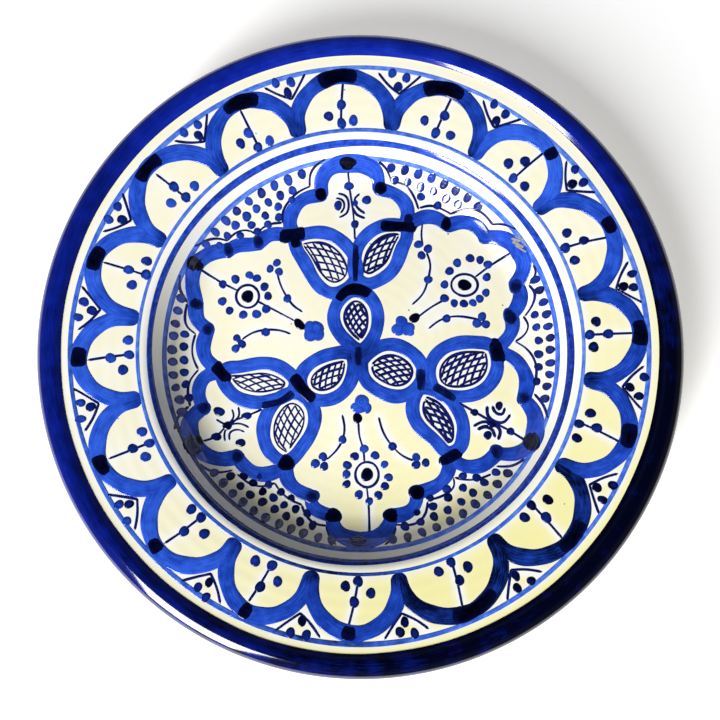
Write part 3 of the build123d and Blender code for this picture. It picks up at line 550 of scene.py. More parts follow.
rng = np.random.default_rng(17)
angles = (ARCH_FEET[:, None] + (-1.5, 1.7, 0.4) + rng.normal(0, 0.2, (16, 3))).ravel()
radii = (LIFTS[:, None] + (131.2, 130.3, 125.6) + rng.normal(0, 0.3, (16, 3))).ravel()
spots = np.column_stack([polar(angles, radii), rng.uniform(1.95, 2.3, 48), rng.uniform(2.3, 2.65, 48),
                         -angles])
# Painted shade darkens these dots towards the near right.
dots = gathered(
    "dots_in_spandrels", [dabs(spots, seed=3, load=np.tile([0.35, 0.45, 0.8], 16))], dot_blue,
    lambda x, y: 3 * painted_shade_near_right(x, y),
)
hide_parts("spandrel_dots")

# ---------------------------------------------------------------- well line and floor line
# Two more rings from the wheel: a full blue one on the steep wall of the well, streaky where the
# brush ran over the throwing ridges, and a pale one at the edge of the floor.
wall_blue = cobalt("cobalt dragged round the wall", "#3464F0", "#1838A0", "#040820", 2.4, 0.1, 0.8, 0.4)
# Painted shade darkens the wall ring towards the near left and towards the right.
line = gathered(
    "blue_ring_on_well_wall", [wheel_line(97.7, 2.6, 0.16, 0.3, 3, load=0.3)], wall_blue,
    lambda x, y: 0.55 * shaded_side(x, y) + 0.3 * np.clip((x + 0.2 * y) / 100, 0, 1) ** 2,
)
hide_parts("well_line")
# Painted shade darkens the floor ring towards the near left.
line = gathered(
    "pale_ring_on_floor", [wheel_line(92.8, 1.9, 0.12, 0.3, 5, load=0.42)], pale_wash,
    lambda x, y: 0.6 * shaded_side(x, y),
)
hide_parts("floor_line")

# ---------------------------------------------------------------- medallion outline
# Three large petals and three small lobes, outlined in 27 scallops with the 7 mm brush, each
# stroke begun on the end of the one before. Points in mm, x to the right, y to the far edge.
SCALLOPS = [
    [(-33, 57), (-35, 63), (-33.5, 70), (-28, 75.5), (-20, 77.5)],
    [(-19.5, 79), (-19.3, 84.5), (-15, 89.5), (-7, 91.3), (1, 91), (7.5, 87.5), (8.8, 81.5)],
    [(9.5, 80.5), (16, 78.5), (21.5, 74), (23, 67), (21.5, 62.5)],
    [(25, 63.5), (29, 66), (36, 66.5), (42, 63)],
    [(43, 62.5), (50, 64), (57, 61.5), (61, 57)],
    [(61, 56.5), (68, 55.5), (74.5, 51), (77, 47.5)],
    [(77, 47.5), (79, 43), (78.5, 38), (76, 33)],
    [(76, 33), (78, 28), (76.5, 22), (73.5, 18)],
    [(73.5, 18), (74, 11.5), (71, 6), (66, 1)],
    [(66, 0.5), (74, -3), (79, -9), (80.5, -16), (79, -22.5)],
    [(79, -23), (83, -30), (83, -38), (80, -45.5), (73, -49.5), (65.5, -49.2)],
    [(65.5, -49.2), (58, -55), (51, -55.5), (43, -51.5)],
    [(43, -52), (42, -58), (38, -63.5), (31, -67), (27, -68)],
    [(27, -69), (25.5, -74.5), (21, -78), (15, -79)],
    [(15, -79), (11.5, -86), (5.5, -89.3), (-1.5, -90)],
    [(-1.5, -90), (-8, -88.3), (-12.8, -84), (-13.7, -79)],
    [(-14, -79), (-19, -77.5), (-23.3, -74), (-24, -70)],
    [(-24.5, -69.5), (-31, -66.5), (-35.3, -61.5), (-36.2, -55)],
    [(-37, -56), (-46, -59.3), (-53.5, -57.5), (-59.3, -51.5)],
    [(-59.5, -51), (-67, -52), (-75, -49), (-80.5, -41.5), (-81.5, -33.5), (-76.5, -27.5)],
    [(-76.5, -27), (-78.5, -20), (-76, -13), (-69, -10)],
    [(-69, -9), (-75.5, -3), (-76.7, 3), (-74.5, 10.5)],
    [(-75, 11), (-79.3, 15), (-80.5, 19.5), (-80.3, 23)],
    [(-80.3, 23), (-81.7, 30), (-81.7, 36), (-80.5, 41.5)],
    [(-80.5, 41.5), (-75.5, 46), (-71, 48.5), (-65, 49.7)],
    [(-65, 49.7), (-60, 52.3), (-55.5, 52.7), (-50.5, 53.3)],
    [(-50.5, 53.5), (-45, 57.5), (-39, 58), (-33, 57)],
]
strokes = [stroke(points, 7.1, 0.19, key=key, shake=0.06, load=0.38, ends=0.25)
           for key, points in enumerate(SCALLOPS)]
# Painted shade darkens the scallops towards the near right.
outline = gathered("scallops_of_medallion", strokes, brushed_cobalt, painted_shade_near_right)
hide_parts("medallion_outline")

# ---------------------------------------------------------------- echo line
# A fine liner follows the scallops outside, 2.5 mm off, and breaks at each notch.
ECHOES = [
    [(-38.5, 64), (-38.5, 69), (-35, 75), (-30.5, 79), (-25.3, 81.5)],
    [(-25.3, 82), (-25, 86), (-22, 90), (-17.5, 92.4)],
    [(8.8, 92), (12.8, 88.7), (14.6, 84.8)],
    [(15, 84), (20, 83), (25.5, 78), (28.3, 71)],
    [(29.3, 71.3), (34, 72.3), (40, 70.5), (44.3, 68.2)],
    [(44.8, 68.4), (51, 70), (58.5, 68), (64, 62.4)],
    [(64.2, 62), (69.5, 61), (74.5, 58)],
    [(83.3, 41), (84.3, 38), (82.3, 33)],
    [(82, 32), (84.4, 28), (83.7, 23), (80.3, 17.6)],
    [(79.6, 17), (81.6, 12.5), (80, 8.5), (75.7, 5.2)],
    [(75.8, 4.6), (80.5, 1.5), (84, -3.5), (85, -11), (83.3, -18.5)],
    [(84, -21), (87, -26), (88.4, -32.5)],
    [(77, -52), (72, -55), (65.5, -55.5)],
    [(62, -59.4), (57, -61.3), (51, -62), (45.5, -61)],
    [(44.6, -61.5), (44.8, -64.5), (41, -68.7), (34.3, -71.2)],
    [(32, -72.8), (31, -77.5), (27, -82), (17, -83.2)],
    [(16.4, -84.5), (15, -88.5), (11.5, -91.5)],
    [(-12, -91.5), (-15, -88), (-16.6, -84)],
    [(-17, -83.5), (-22, -82.5), (-26, -79), (-28.3, -74.5)],
    [(-28.6, -73.8), (-35, -70.8), (-39, -67), (-41.3, -63.8)],
    [(-41.8, -63.6), (-47, -65), (-53.5, -63.6), (-59, -59.5)],
    [(-62, -57.4), (-69.5, -58), (-76, -54.3)],
    [(-87.5, -37.5), (-86.7, -32), (-83, -27)],
    [(-82.3, -26.3), (-83.5, -20), (-82.5, -14), (-79.2, -9.3)],
    [(-79.2, -8.4), (-81.4, -3.5), (-82, 2), (-80.7, 8)],
    [(-80.9, 8.8), (-84.5, 12), (-85.4, 17), (-84.4, 22.7)],
    [(-84.4, 23.8), (-87, 29), (-86.6, 36)],
    [(-79.8, 49.5), (-75, 53), (-69.5, 54.8), (-65.6, 54.3)],
    [(-65.2, 54.7), (-61, 58.5), (-56, 59.7), (-51.8, 58)],
    [(-51.2, 58.6), (-46, 62.5), (-39.3, 63.7)],
]
strokes = [stroke(points, 1.2, 0.13, 0.9, key=key, shake=0.14) for key, points in enumerate(ECHOES)]
echo = gathered("echo_line_of_medallion", strokes, fine_navy)
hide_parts("medallion_echo")

# ---------------------------------------------------------------- pods
# Nine seed pods. Each is a leaf left white, ringed by one 7 mm stroke that starts and ends at its
# point, and filled with a cross hatched seed in fine line, 2 mm inside the ring.
# A leaf is (edge points from its point round, directions of its two hatchings, pitch, line width).
PODS = [
    ([(-0.3, 3.6), (-6.3, 9), (-10, 16), (-8, 23), (-2.5, 26.6), (2.8, 23.5), (5, 16), (3.2, 8.5)],
     (52, 118), 2.5, 1.05),
    ([(-6.8, -3.4), (-14, -4.5), (-22, -8), (-26, -13), (-24.5, -18.5), (-18.5, -20.6), (-11, -17.5),
      (-7.2, -10.5)],
     (22, 78), 2.7, 0.95),
    ([(3.4, -6), (8.5, -1.5), (14.5, 0.2), (21, -2), (26.8, -9.3), (24, -16), (18, -18.6), (10.5, -16.5),
      (5, -12)],
     (-40, 12), 2.6, 1.05),
    ([(-30.3, 54), (-19, 55.5), (-11.5, 52), (-6.3, 45), (-5.8, 37), (-14, 32), (-19, 35.5), (-24, 44)],
     (-62, -14), 3.0, 0.8),
    ([(20.5, 59), (14.5, 59.5), (8, 57.5), (2.5, 52), (0, 44), (1.7, 36.8), (8, 38.3), (13.5, 43),
      (17, 51.5)],
     (66, 24), 2.7, 0.95),
    ([(-65, -11.3), (-57, -10.5), (-48, -9), (-40, -11), (-35, -16.3), (-41, -19.7), (-50, -21.5),
      (-59, -19)],
     (14, -28), 2.8, 0.8),
    ([(-35.8, -50.8), (-41, -47), (-43.8, -40), (-42, -31), (-33, -23.5), (-26.5, -28), (-27, -38),
      (-31.5, -45)],
     (66, 122), 3.0, 0.75),
    ([(62, 0.6), (50, 1.2), (41, -2), (36.8, -8.5), (38, -16), (48, -18.7), (57, -16.5), (63, -8)],
     (22, 66), 2.8, 1.0),
    ([(30.3, -20.6), (38, -23.5), (44, -30), (46.3, -38.5), (43.6, -46), (38.5, -41.3), (31.5, -35),
      (28.3, -28.5)],
     (-62, -22), 2.5, 1.1),
]


def swollen(points, distance):
    """Closed path round a leaf at a distance outside it: each sample of its edge moved along the normal, with
    the point itself moved straight out at both ends."""
    edge = smooth(list(points) + [points[0]], 1.0)
    way = np.gradient(edge, axis=0)
    way /= np.linalg.norm(way, axis=1)[:, None]
    area = np.sum(edge[:-1, 0] * edge[1:, 1] - edge[1:, 0] * edge[:-1, 1])
    out = np.stack([way[:, 1], -way[:, 0]], axis=1) * np.sign(area)
    moved = edge + out * distance
    outward = edge[0] - edge[len(edge) // 2]
    tip = edge[0] + outward / np.linalg.norm(outward) * distance
    return np.vstack([tip, moved[2:-2:3], tip])


strokes = [
    stroke(swollen(points, 3.3), 6.8, 0.19, key=key + 40, shake=0.04, load=0.33, ends=0.25)
    for key, (points, *_) in enumerate(PODS)
]
# Painted shade darkens the rings towards the near right; they are also darker where they run together at the
# centre.
rings = gathered("rings_of_pods", strokes, brushed_cobalt,
                 lambda x, y: painted_shade_near_right(x, y) + 0.3 * np.exp(-((np.hypot(x + 1, y + 1) / 14) ** 2)))
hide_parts("pod_rings")


def drawn_in(points, distance):
    """A leaf's edge drawn in by a distance along and across its own length, as dense points."""
    edge = smooth(list(points) + [points[0]], 0.8)
    tip = edge[0]
    end = edge[np.argmax(np.linalg.norm(edge - tip, axis=1))]
    length = np.linalg.norm(end - tip)
    unit = (end - tip) / length
    side = np.array([-unit[1], unit[0]])
    s, n = (edge - tip) @ unit, (edge - tip) @ side
    middle, half = (n.max() + n.min()) / 2, (n.max() - n.min()) / 2
    s = length / 2 + (s - length / 2) * (1 - 2 * distance / length)
    n = middle + (n - middle) * (1 - distance / half)
    return tip + s[:, None] * unit + n[:, None] * side


def hatching(leaf, direction, pitch):
    """Parallel chords of a leaf: at each pitch across the direction, the two crossings of its edge found
    where the signed distance changes sign, joined with a slight bow."""
    unit = np.array([np.cos(np.radians(direction)), np.sin(np.radians(direction))])
    side = np.array([-unit[1], unit[0]])
    s, n = leaf @ unit, leaf @ side
    chords = []
    for level in np.arange(n.min() + 0.5 * pitch, n.max() - 0.2 * pitch, pitch):
        away = n - level
        cut = np.nonzero(away[:-1] * away[1:] < 0)[0]
        if len(cut) < 2:
            continue
        share = away[cut] / (away[cut] - away[cut + 1])
        reach = s[cut] + share * (s[cut + 1] - s[cut])
        low, high = reach.min(), reach.max()
        if high - low > 1.6:
            bow = 0.05 * (high - low)
            middle = unit * (low + high) / 2 + side * (level + bow)
            chords.append([unit * low + side * level, middle, unit * high + side * level])
    return chords


strokes = []
for key, (points, directions, pitch, width) in enumerate(PODS):
    leaf = drawn_in(points, 1.9)
    strokes.append(stroke(leaf[::4], 1.3 * width, 0.14, 0.9, key=key, shake=0.12, round_ends=False))
    for direction in directions:
        for count, chord in enumerate(hatching(leaf, direction, pitch)):
            strokes.append(stroke(chord, 1.25 * width, 0.12, 1.4, key=key + count, shake=0.12,
                                  round_ends=False))
lattices = gathered("cross_hatched_seeds", strokes, fine_navy)
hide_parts("pod_lattices")

# ---------------------------------------------------------------- junction dabs
# Thick near black dabs that hide where strokes meet: at the six joints of petals and lobes, at
# the notches between scallops, and where the pods' rings run together.
DARK_STROKES = [
    ([(-38, 57), (-29.5, 58.2)], 6.8),
    ([(-33, 57), (-32, 52.8)], 5.4),
    ([(11.5, 62.2), (24.5, 61.8)], 6.4),
    ([(-10.3, 26.7), (-7, 29.7), (-2.5, 30.7), (2.8, 29)], 6),
    ([(-32, -13), (-28.5, -18.2), (-24, -22.6)], 6),
    ([(-70, -8), (-66, -12.5)], 7),
    ([(40.5, -52.5), (46, -49.5)], 6.6),
    ([(65.5, 3), (67, -2.5)], 7.4),
]
BLACK_SPOTS = [
    (-36, -54, 4.8, 4.4, 0), (-20, 78, 3.6, 3.6, 40), (9.8, 81, 3.8, 3.5, 0), (-6.5, 91.4, 5.4, 2.8, 0),
    (42, 63.2, 3.2, 3.8, 0), (81, -43.5, 3.8, 5.4, -15), (-1.5, -90, 5.8, 2.8, 0),
    (-13.5, -79, 4.6, 3.8, -20),
    (-79.3, -45, 4.3, 6.2, 30), (-80.3, 41.8, 4.2, 4, 40), (14.5, -79, 4.4, 3.7, 10), (27, -68, 4.6, 3.9, 20),
]
NAVY_SPOTS = [
    (76, 32, 3.6, 4.4, 0), (73, 17, 3.6, 4.8, 10), (79, -22.7, 3.6, 3.8, 0), (65.5, -48.6, 3.5, 4, 0),
    (-23.5, -70, 3.9, 3.6, 0), (-59.5, -51, 3.6, 3.8, 0), (-76, -27.5, 3.6, 3.6, 0),
    (-74.7, 10.8, 3.5, 3.4, 0),
    (-80.3, 23, 3.4, 3.8, 0), (-65, 49.8, 3, 3.8, 0), (-50.5, 54, 3.1, 3.8, 0), (23.5, 65.5, 3, 3.4, 0),
]
strokes = [
    stroke(points, width, 0.3, 0.8, key=key, shake=0.1, load=1.0, ends=-0.3, rim=-0.5)
    for key, (points, width) in enumerate(DARK_STROKES)
]
spots = [dabs(BLACK_SPOTS, 0.3, 18, 4, 1.05, -0.5), dabs(NAVY_SPOTS, 0.3, 18, 5, 0.6, -0.4)]
junctions = gathered("dark_dabs_at_joints", strokes + spots, thick_black)
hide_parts("junction_dabs")
TRUNKS = [
    ([(29.4, -9.5), (29, -18)], 5), ([(36, -17.4), (45, -22.8)], 5),
    ([(-47, -26), (-40, -24.5), (-33.5, -20.5)], 5),
    ([(-2.8, 35), (-2.6, 52)], 3.8), ([(-1.4, 1.5), (-1.2, -6)], 4.4),
]
strokes = [
    stroke(points, width, 0.24, key=key, shake=0.12, load=0.62, ends=-0.3, rim=-0.5)
    for key, (points, width) in enumerate(TRUNKS)
]
trunks = gathered("doubled_strokes_between_pods", strokes, thick_black)

# ---------------------------------------------------------------- flowers in the petals
# In each large petal a stem runs from the petal's tip through a ringed eye to a tulip bud, with a
# wreath of dots round the eye and two sprigs that end in a clover of three dots.
FINE_LINES = [
    [(-78.5, 40), (-67.7, 33.5), (-60.4, 29.8)],
    [(-50, 24.3), (-41, 19.5), (-33, 15.3)],
    [(-41.3, 40), (-40, 34.5), (-36, 26.3), (-33, 22.5), (-29, 19.6)],
    [(-57.7, 6), (-53, 9), (-46.7, 10.5), (-40, 10.3), (-34.7, 8.7)],
    [(73.5, 48.3), (66, 44), (56.3, 36.9)],
    [(40, 25), (34, 21.5), (28, 17)],
    [(30.3, 63), (29.8, 58), (30.4, 52.5)],
    [(32.3, 48.8), (34, 43), (33, 36), (30.5, 28.8), (25.2, 23.2)],
    [(57.5, 15.7), (51, 17), (45, 17.2), (38, 15), (33.3, 11.4)],
    [(-1.2, -35), (-0.5, -42), (1, -47), (1.6, -53)],
    [(2.8, -65.8), (3.5, -72), (4, -86.5)],
    [(-9, -31.2), (-8, -36.5), (-8.9, -42.7), (-12, -48), (-16.5, -52.3)],
    [(8.7, -32.3), (10.5, -38.5), (15.2, -46), (20, -50.5), (25, -52.7)],
]
strokes = [stroke(points, 1.15, 0.13, 1.0, key=key, shake=0.12) for key, points in enumerate(FINE_LINES)]
lines = gathered("stems_and_sprigs", strokes, fine_navy)
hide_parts("petal_stems")

EYES = [(-55.5, 27, 5.6, 5.6, 3, 2.9), (50.8, 32.8, 6.5, 5.4, 3.3, 2.7), (2.9, -59.5, 5.6, 6, 2.8, 3.2)]
swing = np.linspace(0.6, 2 * np.pi + 0.75, 25)
strokes = [
    stroke(np.stack([x + a * np.cos(swing), y + b * np.sin(swing)], axis=1), 1.35, 0.15, 0.8, key=key,
           shake=0.1)
    for key, (x, y, a, b, _, _) in enumerate(EYES)
]
eyes = gathered("rings_of_eyes", strokes, fine_navy)
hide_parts("flower_eyes")

CALYXES = [(-30, 13.3, 3.4, 2.3, -40), (26.2, 16.5, 2.9, 2.4, 20), (-1.7, -32.4, 2.5, 2.6, 0)]
pupils = gathered(
    "pupils_and_calyxes_painted",
    [dabs([(x, y, 1.08 * p, 1.08 * q, 0) for x, y, _, _, p, q in EYES] + CALYXES, 0.3, 20, 5, 1.0, -0.3)],
    thick_black,
)
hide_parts("pupils_and_calyxes")

BUDS = [
    (-24.6, 11.2, 3.4, 3.8, 0), (-21.6, 11.4, 3.4, 4, 20), (-20.9, 8.4, 3.2, 3.4, 0), (-24.6, 8, 3.6, 3.2, 0),
    (19.8, 14.6, 3.2, 3, 0), (18.4, 11, 3.6, 3.4, 0), (22.6, 11.2, 3.8, 3.4, 0), (24, 9.2, 2.3, 1.6, 0),
    (0.3, -24.5, 3.6, 3.8, 0), (-2.8, -26.8, 2.5, 1.9, 0), (2.9, -27.4, 2.4, 2.8, 0), (-1, -28.3, 3, 2, 0),
]
buds = gathered("tulip_buds_painted", [dabs(BUDS, 0.26, 18, 6, 0.3)], brushed_cobalt)
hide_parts("tulip_buds")

EYE_DOTS = np.array([
    (-67.7, 33), (-61.5, 35.5), (-54.6, 37.5), (-51, 36), (-47.3, 31.8), (-45.5, 27.2), (-46.3, 20.8),
    (-51, 18.3),
    (-57.5, 18), (-64.2, 20), (-67.8, 24.6),
    (47.3, 43.8), (53.7, 46.1), (58.6, 45.3), (62.4, 43), (61.8, 36.7), (61.3, 29), (58.2, 26), (54.8, 24),
    (50.4, 23.6), (45.7, 23.8), (40.9, 26.2), (41, 33), (43.5, 39.7),
    (1.5, -47.2), (6.8, -50.3), (11.3, -54.6), (13.3, -60.8), (11.5, -65), (8.4, -69.3), (4, -72.2),
    (-1, -69),
    (-6.9, -64), (-7, -59.3), (-6.6, -55), (-3, -50.7),
])
SPRIG_DOTS = np.array([
    (-44.6, 40.7), (-41.3, 43.7), (-40.2, 39.3), (-36, 26), (-60.4, 6.4), (-58, 3.6), (-61, 1.4),
    (-46.5, 9.4),
    (28.3, 53), (33, 50.8), (29.8, 47.5), (33, 35.4), (59.3, 17.2), (56.7, 13.8), (61, 13.4), (41.8, 16.2),
    (-18.3, -51), (-22, -54.2), (-17.7, -55.5), (-8.9, -42.7),
    (26.6, -51.3), (26.6, -54.8), (31.2, -53.8), (15.2, -46),
])


def round_dots(places, size, seed):
    """One row of five numbers for each dot: its place, two nearly equal half sizes and a random turn."""
    rng = np.random.default_rng(seed)
    half = rng.normal(size, 0.08, (len(places), 1))
    return np.column_stack([places, half, half * rng.uniform(0.9, 1.05, half.shape),
                            rng.uniform(0, 180, len(places))])


# Painted shade darkens both sets of dots towards the near right.
dots = gathered("wreaths_of_dots", [dabs(round_dots(EYE_DOTS, 2.25, 7), seed=7)], dot_blue,
                lambda x, y: painted_shade_near_right(x, y) - 0.1)
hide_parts("flower_dots")
dots = gathered("clover_dots", [dabs(round_dots(SPRIG_DOTS, 2.25, 8), seed=8)], dot_blue,
                lambda x, y: painted_shade_near_right(x, y) - 0.1)
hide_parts("sprig_dots")

# ---------------------------------------------------------------- motifs in the small lobes
# Each small lobe holds a stem with paired curls that open away from it and a few dots, like an
# insect with its wings spread.
CURLS = [
    [(-6.5, 89), (-5.5, 80), (-4, 70), (-3.2, 60), (-3, 55.6)],
    [(-10.8, 78.3), (-7.5, 77), (-6.1, 73), (-7.2, 68.5), (-10.3, 66.6)],
    [(-11.9, 76), (-9.2, 75), (-8.3, 71.8), (-9.8, 68.9)],
    [(-1, 78), (-3, 75.8), (-2.4, 72.3), (1.5, 68.7)],
    [(-4, 71), (-2, 67.8), (1.5, 66.2)],
    [(-48.5, -28.4), (-55.3, -31.3), (-64.5, -35.7), (-69.7, -41), (-75.3, -43.3)],
    [(-62.3, -28.5), (-61.6, -31.5), (-63.5, -34.8)],
    [(-59.3, -27.4), (-59, -31), (-62.8, -35)],
    [(-69.6, -33.2), (-67, -34.8), (-64.5, -35.8)],
    [(-54.5, -36.7), (-59.5, -35), (-64.3, -36.7), (-65.8, -39.3), (-65.6, -43)],
    [(-56.6, -38.9), (-60.3, -38), (-63.3, -39.6), (-63.4, -42.6)],
    [(46, -24.3), (55, -29.3), (63, -33.8), (72, -38.6), (78.5, -43)],
    [(61.2, -27.3), (61.5, -31), (64.3, -33.8), (69, -34.3), (72, -31.2)],
    [(64, -27.2), (65.3, -29.7), (68.5, -30.3), (69.6, -28)],
    [(55, -36), (59, -34.2), (64, -35.3), (67.3, -38.5), (66.5, -42.2)],
    [(57, -37.6), (60.3, -36.5), (63.3, -37.9), (64.7, -41)],
]
CURL_WIDTHS = [1.1] + [1.3] * 4 + [1.1] + [1.15] * 5 + [1.3] + [1.75] * 4
strokes = [stroke(points, width, 0.14, 0.8, key=key, shake=0.1)
           for key, (points, width) in enumerate(zip(CURLS, CURL_WIDTHS))]
curls = gathered("curls_in_lobes", strokes, fine_navy)
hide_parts("insect_curls")

INSECT_SPOTS = [
    (-6, 82, 2.7, 2, 0), (-11.3, 72.4, 2.1, 2.6, -15), (2.8, 75.2, 2.6, 2.2, 30), (-3, 63, 2.1, 2.2, 0),
    (-2.9, 73.6, 1.5, 1.7, 0),
    (-68.6, -29.2, 3, 2.3, -10), (-55.3, -31.3, 2.7, 1.9, 0), (-64.5, -36, 2.5, 2.2, 0),
    (-69.7, -41.3, 2.5, 2.1, 0),
    (-58, -44.2, 2.5, 2.1, 0),
    (55, -29.6, 2, 1.9, 0), (67, -26.4, 1.9, 2.3, 0), (61.3, -40.6, 2.2, 2.2, 0),
    (72.3, -38.8, 2.1, 1.9, -20),
    (63.2, -35.2, 2.6, 1.7, -30),
]
spots = gathered("spots_in_lobes", [dabs(INSECT_SPOTS, 0.26, 16, 9)], dot_blue, lambda x, y: 0.25 - 0.004 * y)
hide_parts("insect_spots")

# ---------------------------------------------------------------- dotted ground
# Between the medallion and the floor line the ground is filled with dots of the brush's tip, set
# in rows that follow the rim. A row is (radius, first angle, last angle, number of dots).
GROUND = [
    (91, 9.5, 39, 8), (86.6, 11, 33.5, 6), (82, 21, 27.5, 2),
    (91, 67.8, 104.7, 11), (86.4, 77.8, 99.5, 6),
    (91, 130, 170.5, 10), (86.6, 132, 166, 8), (82.2, 137.5, 161, 5), (77.8, 141, 155, 3),
    (90.8, 189, 230, 11), (86.4, 195.3, 226, 8), (82, 198.5, 223, 7), (77.6, 205, 219, 4),
    (90.4, 251, 286, 10), (85.8, 254.7, 275.5, 6),
    (91, 304.5, 341.5, 9), (86.6, 306.5, 337, 8), (82.2, 314, 335.5, 5), (77.8, 319.5, 328.5, 3),
]
rng = np.random.default_rng(10)
places = np.vstack([polar(np.linspace(first, last, number), radius)
                    for radius, first, last, number in GROUND])
places = places + rng.normal(0, 0.22, places.shape)
# Painted shade darkens the ground dots towards the near right and towards the near left.
dots = gathered(
    "dots_of_ground", [dabs(round_dots(places, 2.12, 11), seed=11)], dot_blue,
    lambda x, y: 2 * painted_shade_near_right(x, y) + 0.4 * shaded_side(x, y),
)
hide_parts("ground_dots")

# ---------------------------------------------------------------- lip band
# The thick rolled lip is brushed deep cobalt on the wheel, over its crest and down its outer edge.
# The colour is streaked round the plate, and painted shade makes it near black from the right round to the
# near side.
LIP = np.array([(137.75, 41.4), (138.85, 41.6), (141.45, 43.3), (149.15, 43.3), (149.15, 34.9),
                (145.15, 34.3)])
LIP_RADII = [5, 4.2, 5.5, 2.2]


def lip_skin(around):
    """Closed skin of the lip's paint: the coat's outer line over the lip and back along its inner line,
    turned round the axis. Returns points, quads, and each point's turn and place along the section."""
    outer = coat_line(LIP, LIP_RADII, GLAZE + 0.35, 0.55)
    inner = coat_line(LIP, LIP_RADII, GLAZE - 0.1, 2.0)[::-1]
    line = np.vstack([outer, inner])
    verts, quads, tris = lathe(line, around)
    far = np.concatenate([np.arange(len(outer)) * 0.55, np.linspace(len(outer) * 0.55, 0, len(inner))])
    turns = np.linspace(0, 2 * np.pi, around, endpoint=False)
    return verts, quads, tris, np.repeat(far, around), np.tile(turns, len(line))


verts, quads, tris, far, turn = lip_skin(620)
inner_edge = np.exp(-((far / 1.2) ** 2))
wander = np.clip(np.cos(turn - 1.87), 0, 1) ** 2 - 0.45 * np.clip(np.cos(turn), 0, 1) ** 3 - 0.55
wander = wander + 0.1 * np.sin(7 * turn) + 0.07 * np.sin(19 * turn + 1)
verts[:, 0] -= np.sin(turn) * wander * inner_edge
verts[:, 1] -= np.cos(turn) * wander * inner_edge
lip_cobalt = cobalt("deep cobalt band", "#2040CC", "#0E2398", "#02041A", 9.0, 0.08, 1.1, 0.2)
# Painted shade as the amount of colour at some degrees round the lip: blue at the far side, near black from
# right to near.
LIP_SHADE_LOADS = [(0, 0.4), (22, 0.45), (45, 0.6), (72, 0.85), (100, 1.1), (170, 0.98), (205, 0.88), (250, 0.74),
             (300, 0.7),
             (325, 0.5), (360, 0.4)]
lip = piece("cobalt_band_on_lip", verts, quads, tris, lip_cobalt, {
    "along": turn * 145,
    "across": far,
    "load": np.interp(np.degrees(turn), *np.transpose(LIP_SHADE_LOADS)) + 0.12 * inner_edge,
})
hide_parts("lip_band")

# ---------------------------------------------------------------- face glaze
# Cream white tin glaze, dipped and fired under the colours. It is whitest where the cobalt has drawn the tin,
# in a margin of 2.6 mm beside each stroke, and painted shade makes it darker and yellower towards the near
# right. Smooth, glossy and faintly rippled.
below = coat_line(FACE, FACE_RADII, -0.02, 4.0)[::-1]
verts, quads, tris = lathe(np.vstack([face_top, below]), 620)


def paint_margin(x, y, reach=2.6, cell=0.6):
    """Nearness to paint from 0 to 1: all stroke points counted on a square grid, blurred by a Gaussian of the
    given reach in both directions, and read back at each point."""
    size = int(320 / cell)
    grid = np.zeros((size, size))
    marks = (np.vstack(painted) + 160) / cell
    cells = np.clip(marks.astype(int), 0, size - 1)
    grid[cells[:, 1], cells[:, 0]] = 1
    steps = np.arange(-12, 13) * cell
    bell = np.exp(-((steps / reach) ** 2))
    bell /= bell.sum()
    blurred = sum(w * np.roll(grid, k, axis=0) for k, w in zip(range(-12, 13), bell))
    blurred = sum(w * np.roll(blurred, k, axis=1) for k, w in zip(range(-12, 13), bell))
    ix = np.clip(((x + 160) / cell).astype(int), 0, size - 1)
    iy = np.clip(((y + 160) / cell).astype(int), 0, size - 1)
    return np.clip(blurred[iy, ix] / 0.06, 0, 1)


tin_glaze, tree, shader = begin("cream tin glaze")
place = add(tree, "TexCoord").outputs["Object"]
margin = add(tree, "Attribute", attribute_name="margin").outputs["Fac"]
axes = add(tree, "SeparateXYZ", {0: place}).outputs
# Painted shade: the glaze turns darker and yellower towards the near right.
nearer = add(tree, "Math", {0: axes[1], 1: -1.0}, operation="MULTIPLY").outputs[0]
slant = add(tree, "Math", {0: axes[0], 1: 0.6, 2: nearer}, operation="MULTIPLY_ADD").outputs[0]
glaze_shade_near_right = add(tree, "MapRange", {"Value": slant, "From Min": 0.0, "From Max": 0.2}).outputs[0]
cloud = add(tree, "TexNoise", {"Vector": place, "Scale": 1000 / 35, "Detail": 4.0,
                               "Roughness": 0.55}).outputs["Fac"]
blotch = add(tree, "MapRange", {"Value": cloud, "From Min": 0.35, "From Max": 0.65}).outputs[0]
tone = add(tree, "Mix", {0: blotch, 6: linear("#FDFAE4"), 7: linear("#FBF6D6")}, data_type="RGBA").outputs[2]
tone = add(tree, "Mix", {0: glaze_shade_near_right, 6: tone, 7: linear("#F6EF8E")}, data_type="RGBA").outputs[2]
tone = add(tree, "Mix", {0: margin, 6: tone, 7: linear("#FBFCF8")}, data_type="RGBA").outputs[2]
tree.links.new(tone, shader.inputs["Base Color"])
fine = add(tree, "TexNoise", {"Vector": place, "Scale": 1000 / 5, "Detail": 2.0}).outputs["Fac"]
rough = add(tree, "MapRange", {"Value": cloud, "From Min": 0.3, "From Max": 0.7, "To Min": 0.07,
                               "To Max": 0.13}).outputs[0]
tree.links.new(rough, shader.inputs["Roughness"])
bump = add(tree, "Bump", {"Height": fine, "Strength": 0.12, "Distance": 0.0003}).outputs[0]
tree.links.new(bump, shader.inputs["Normal"])
shader.inputs["IOR"].default_value = 1.6
glaze = piece("cream_glaze_on_face", verts, quads, tris, tin_glaze,
              {"margin": paint_margin(verts[:, 0], verts[:, 1])})
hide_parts("face_glaze")

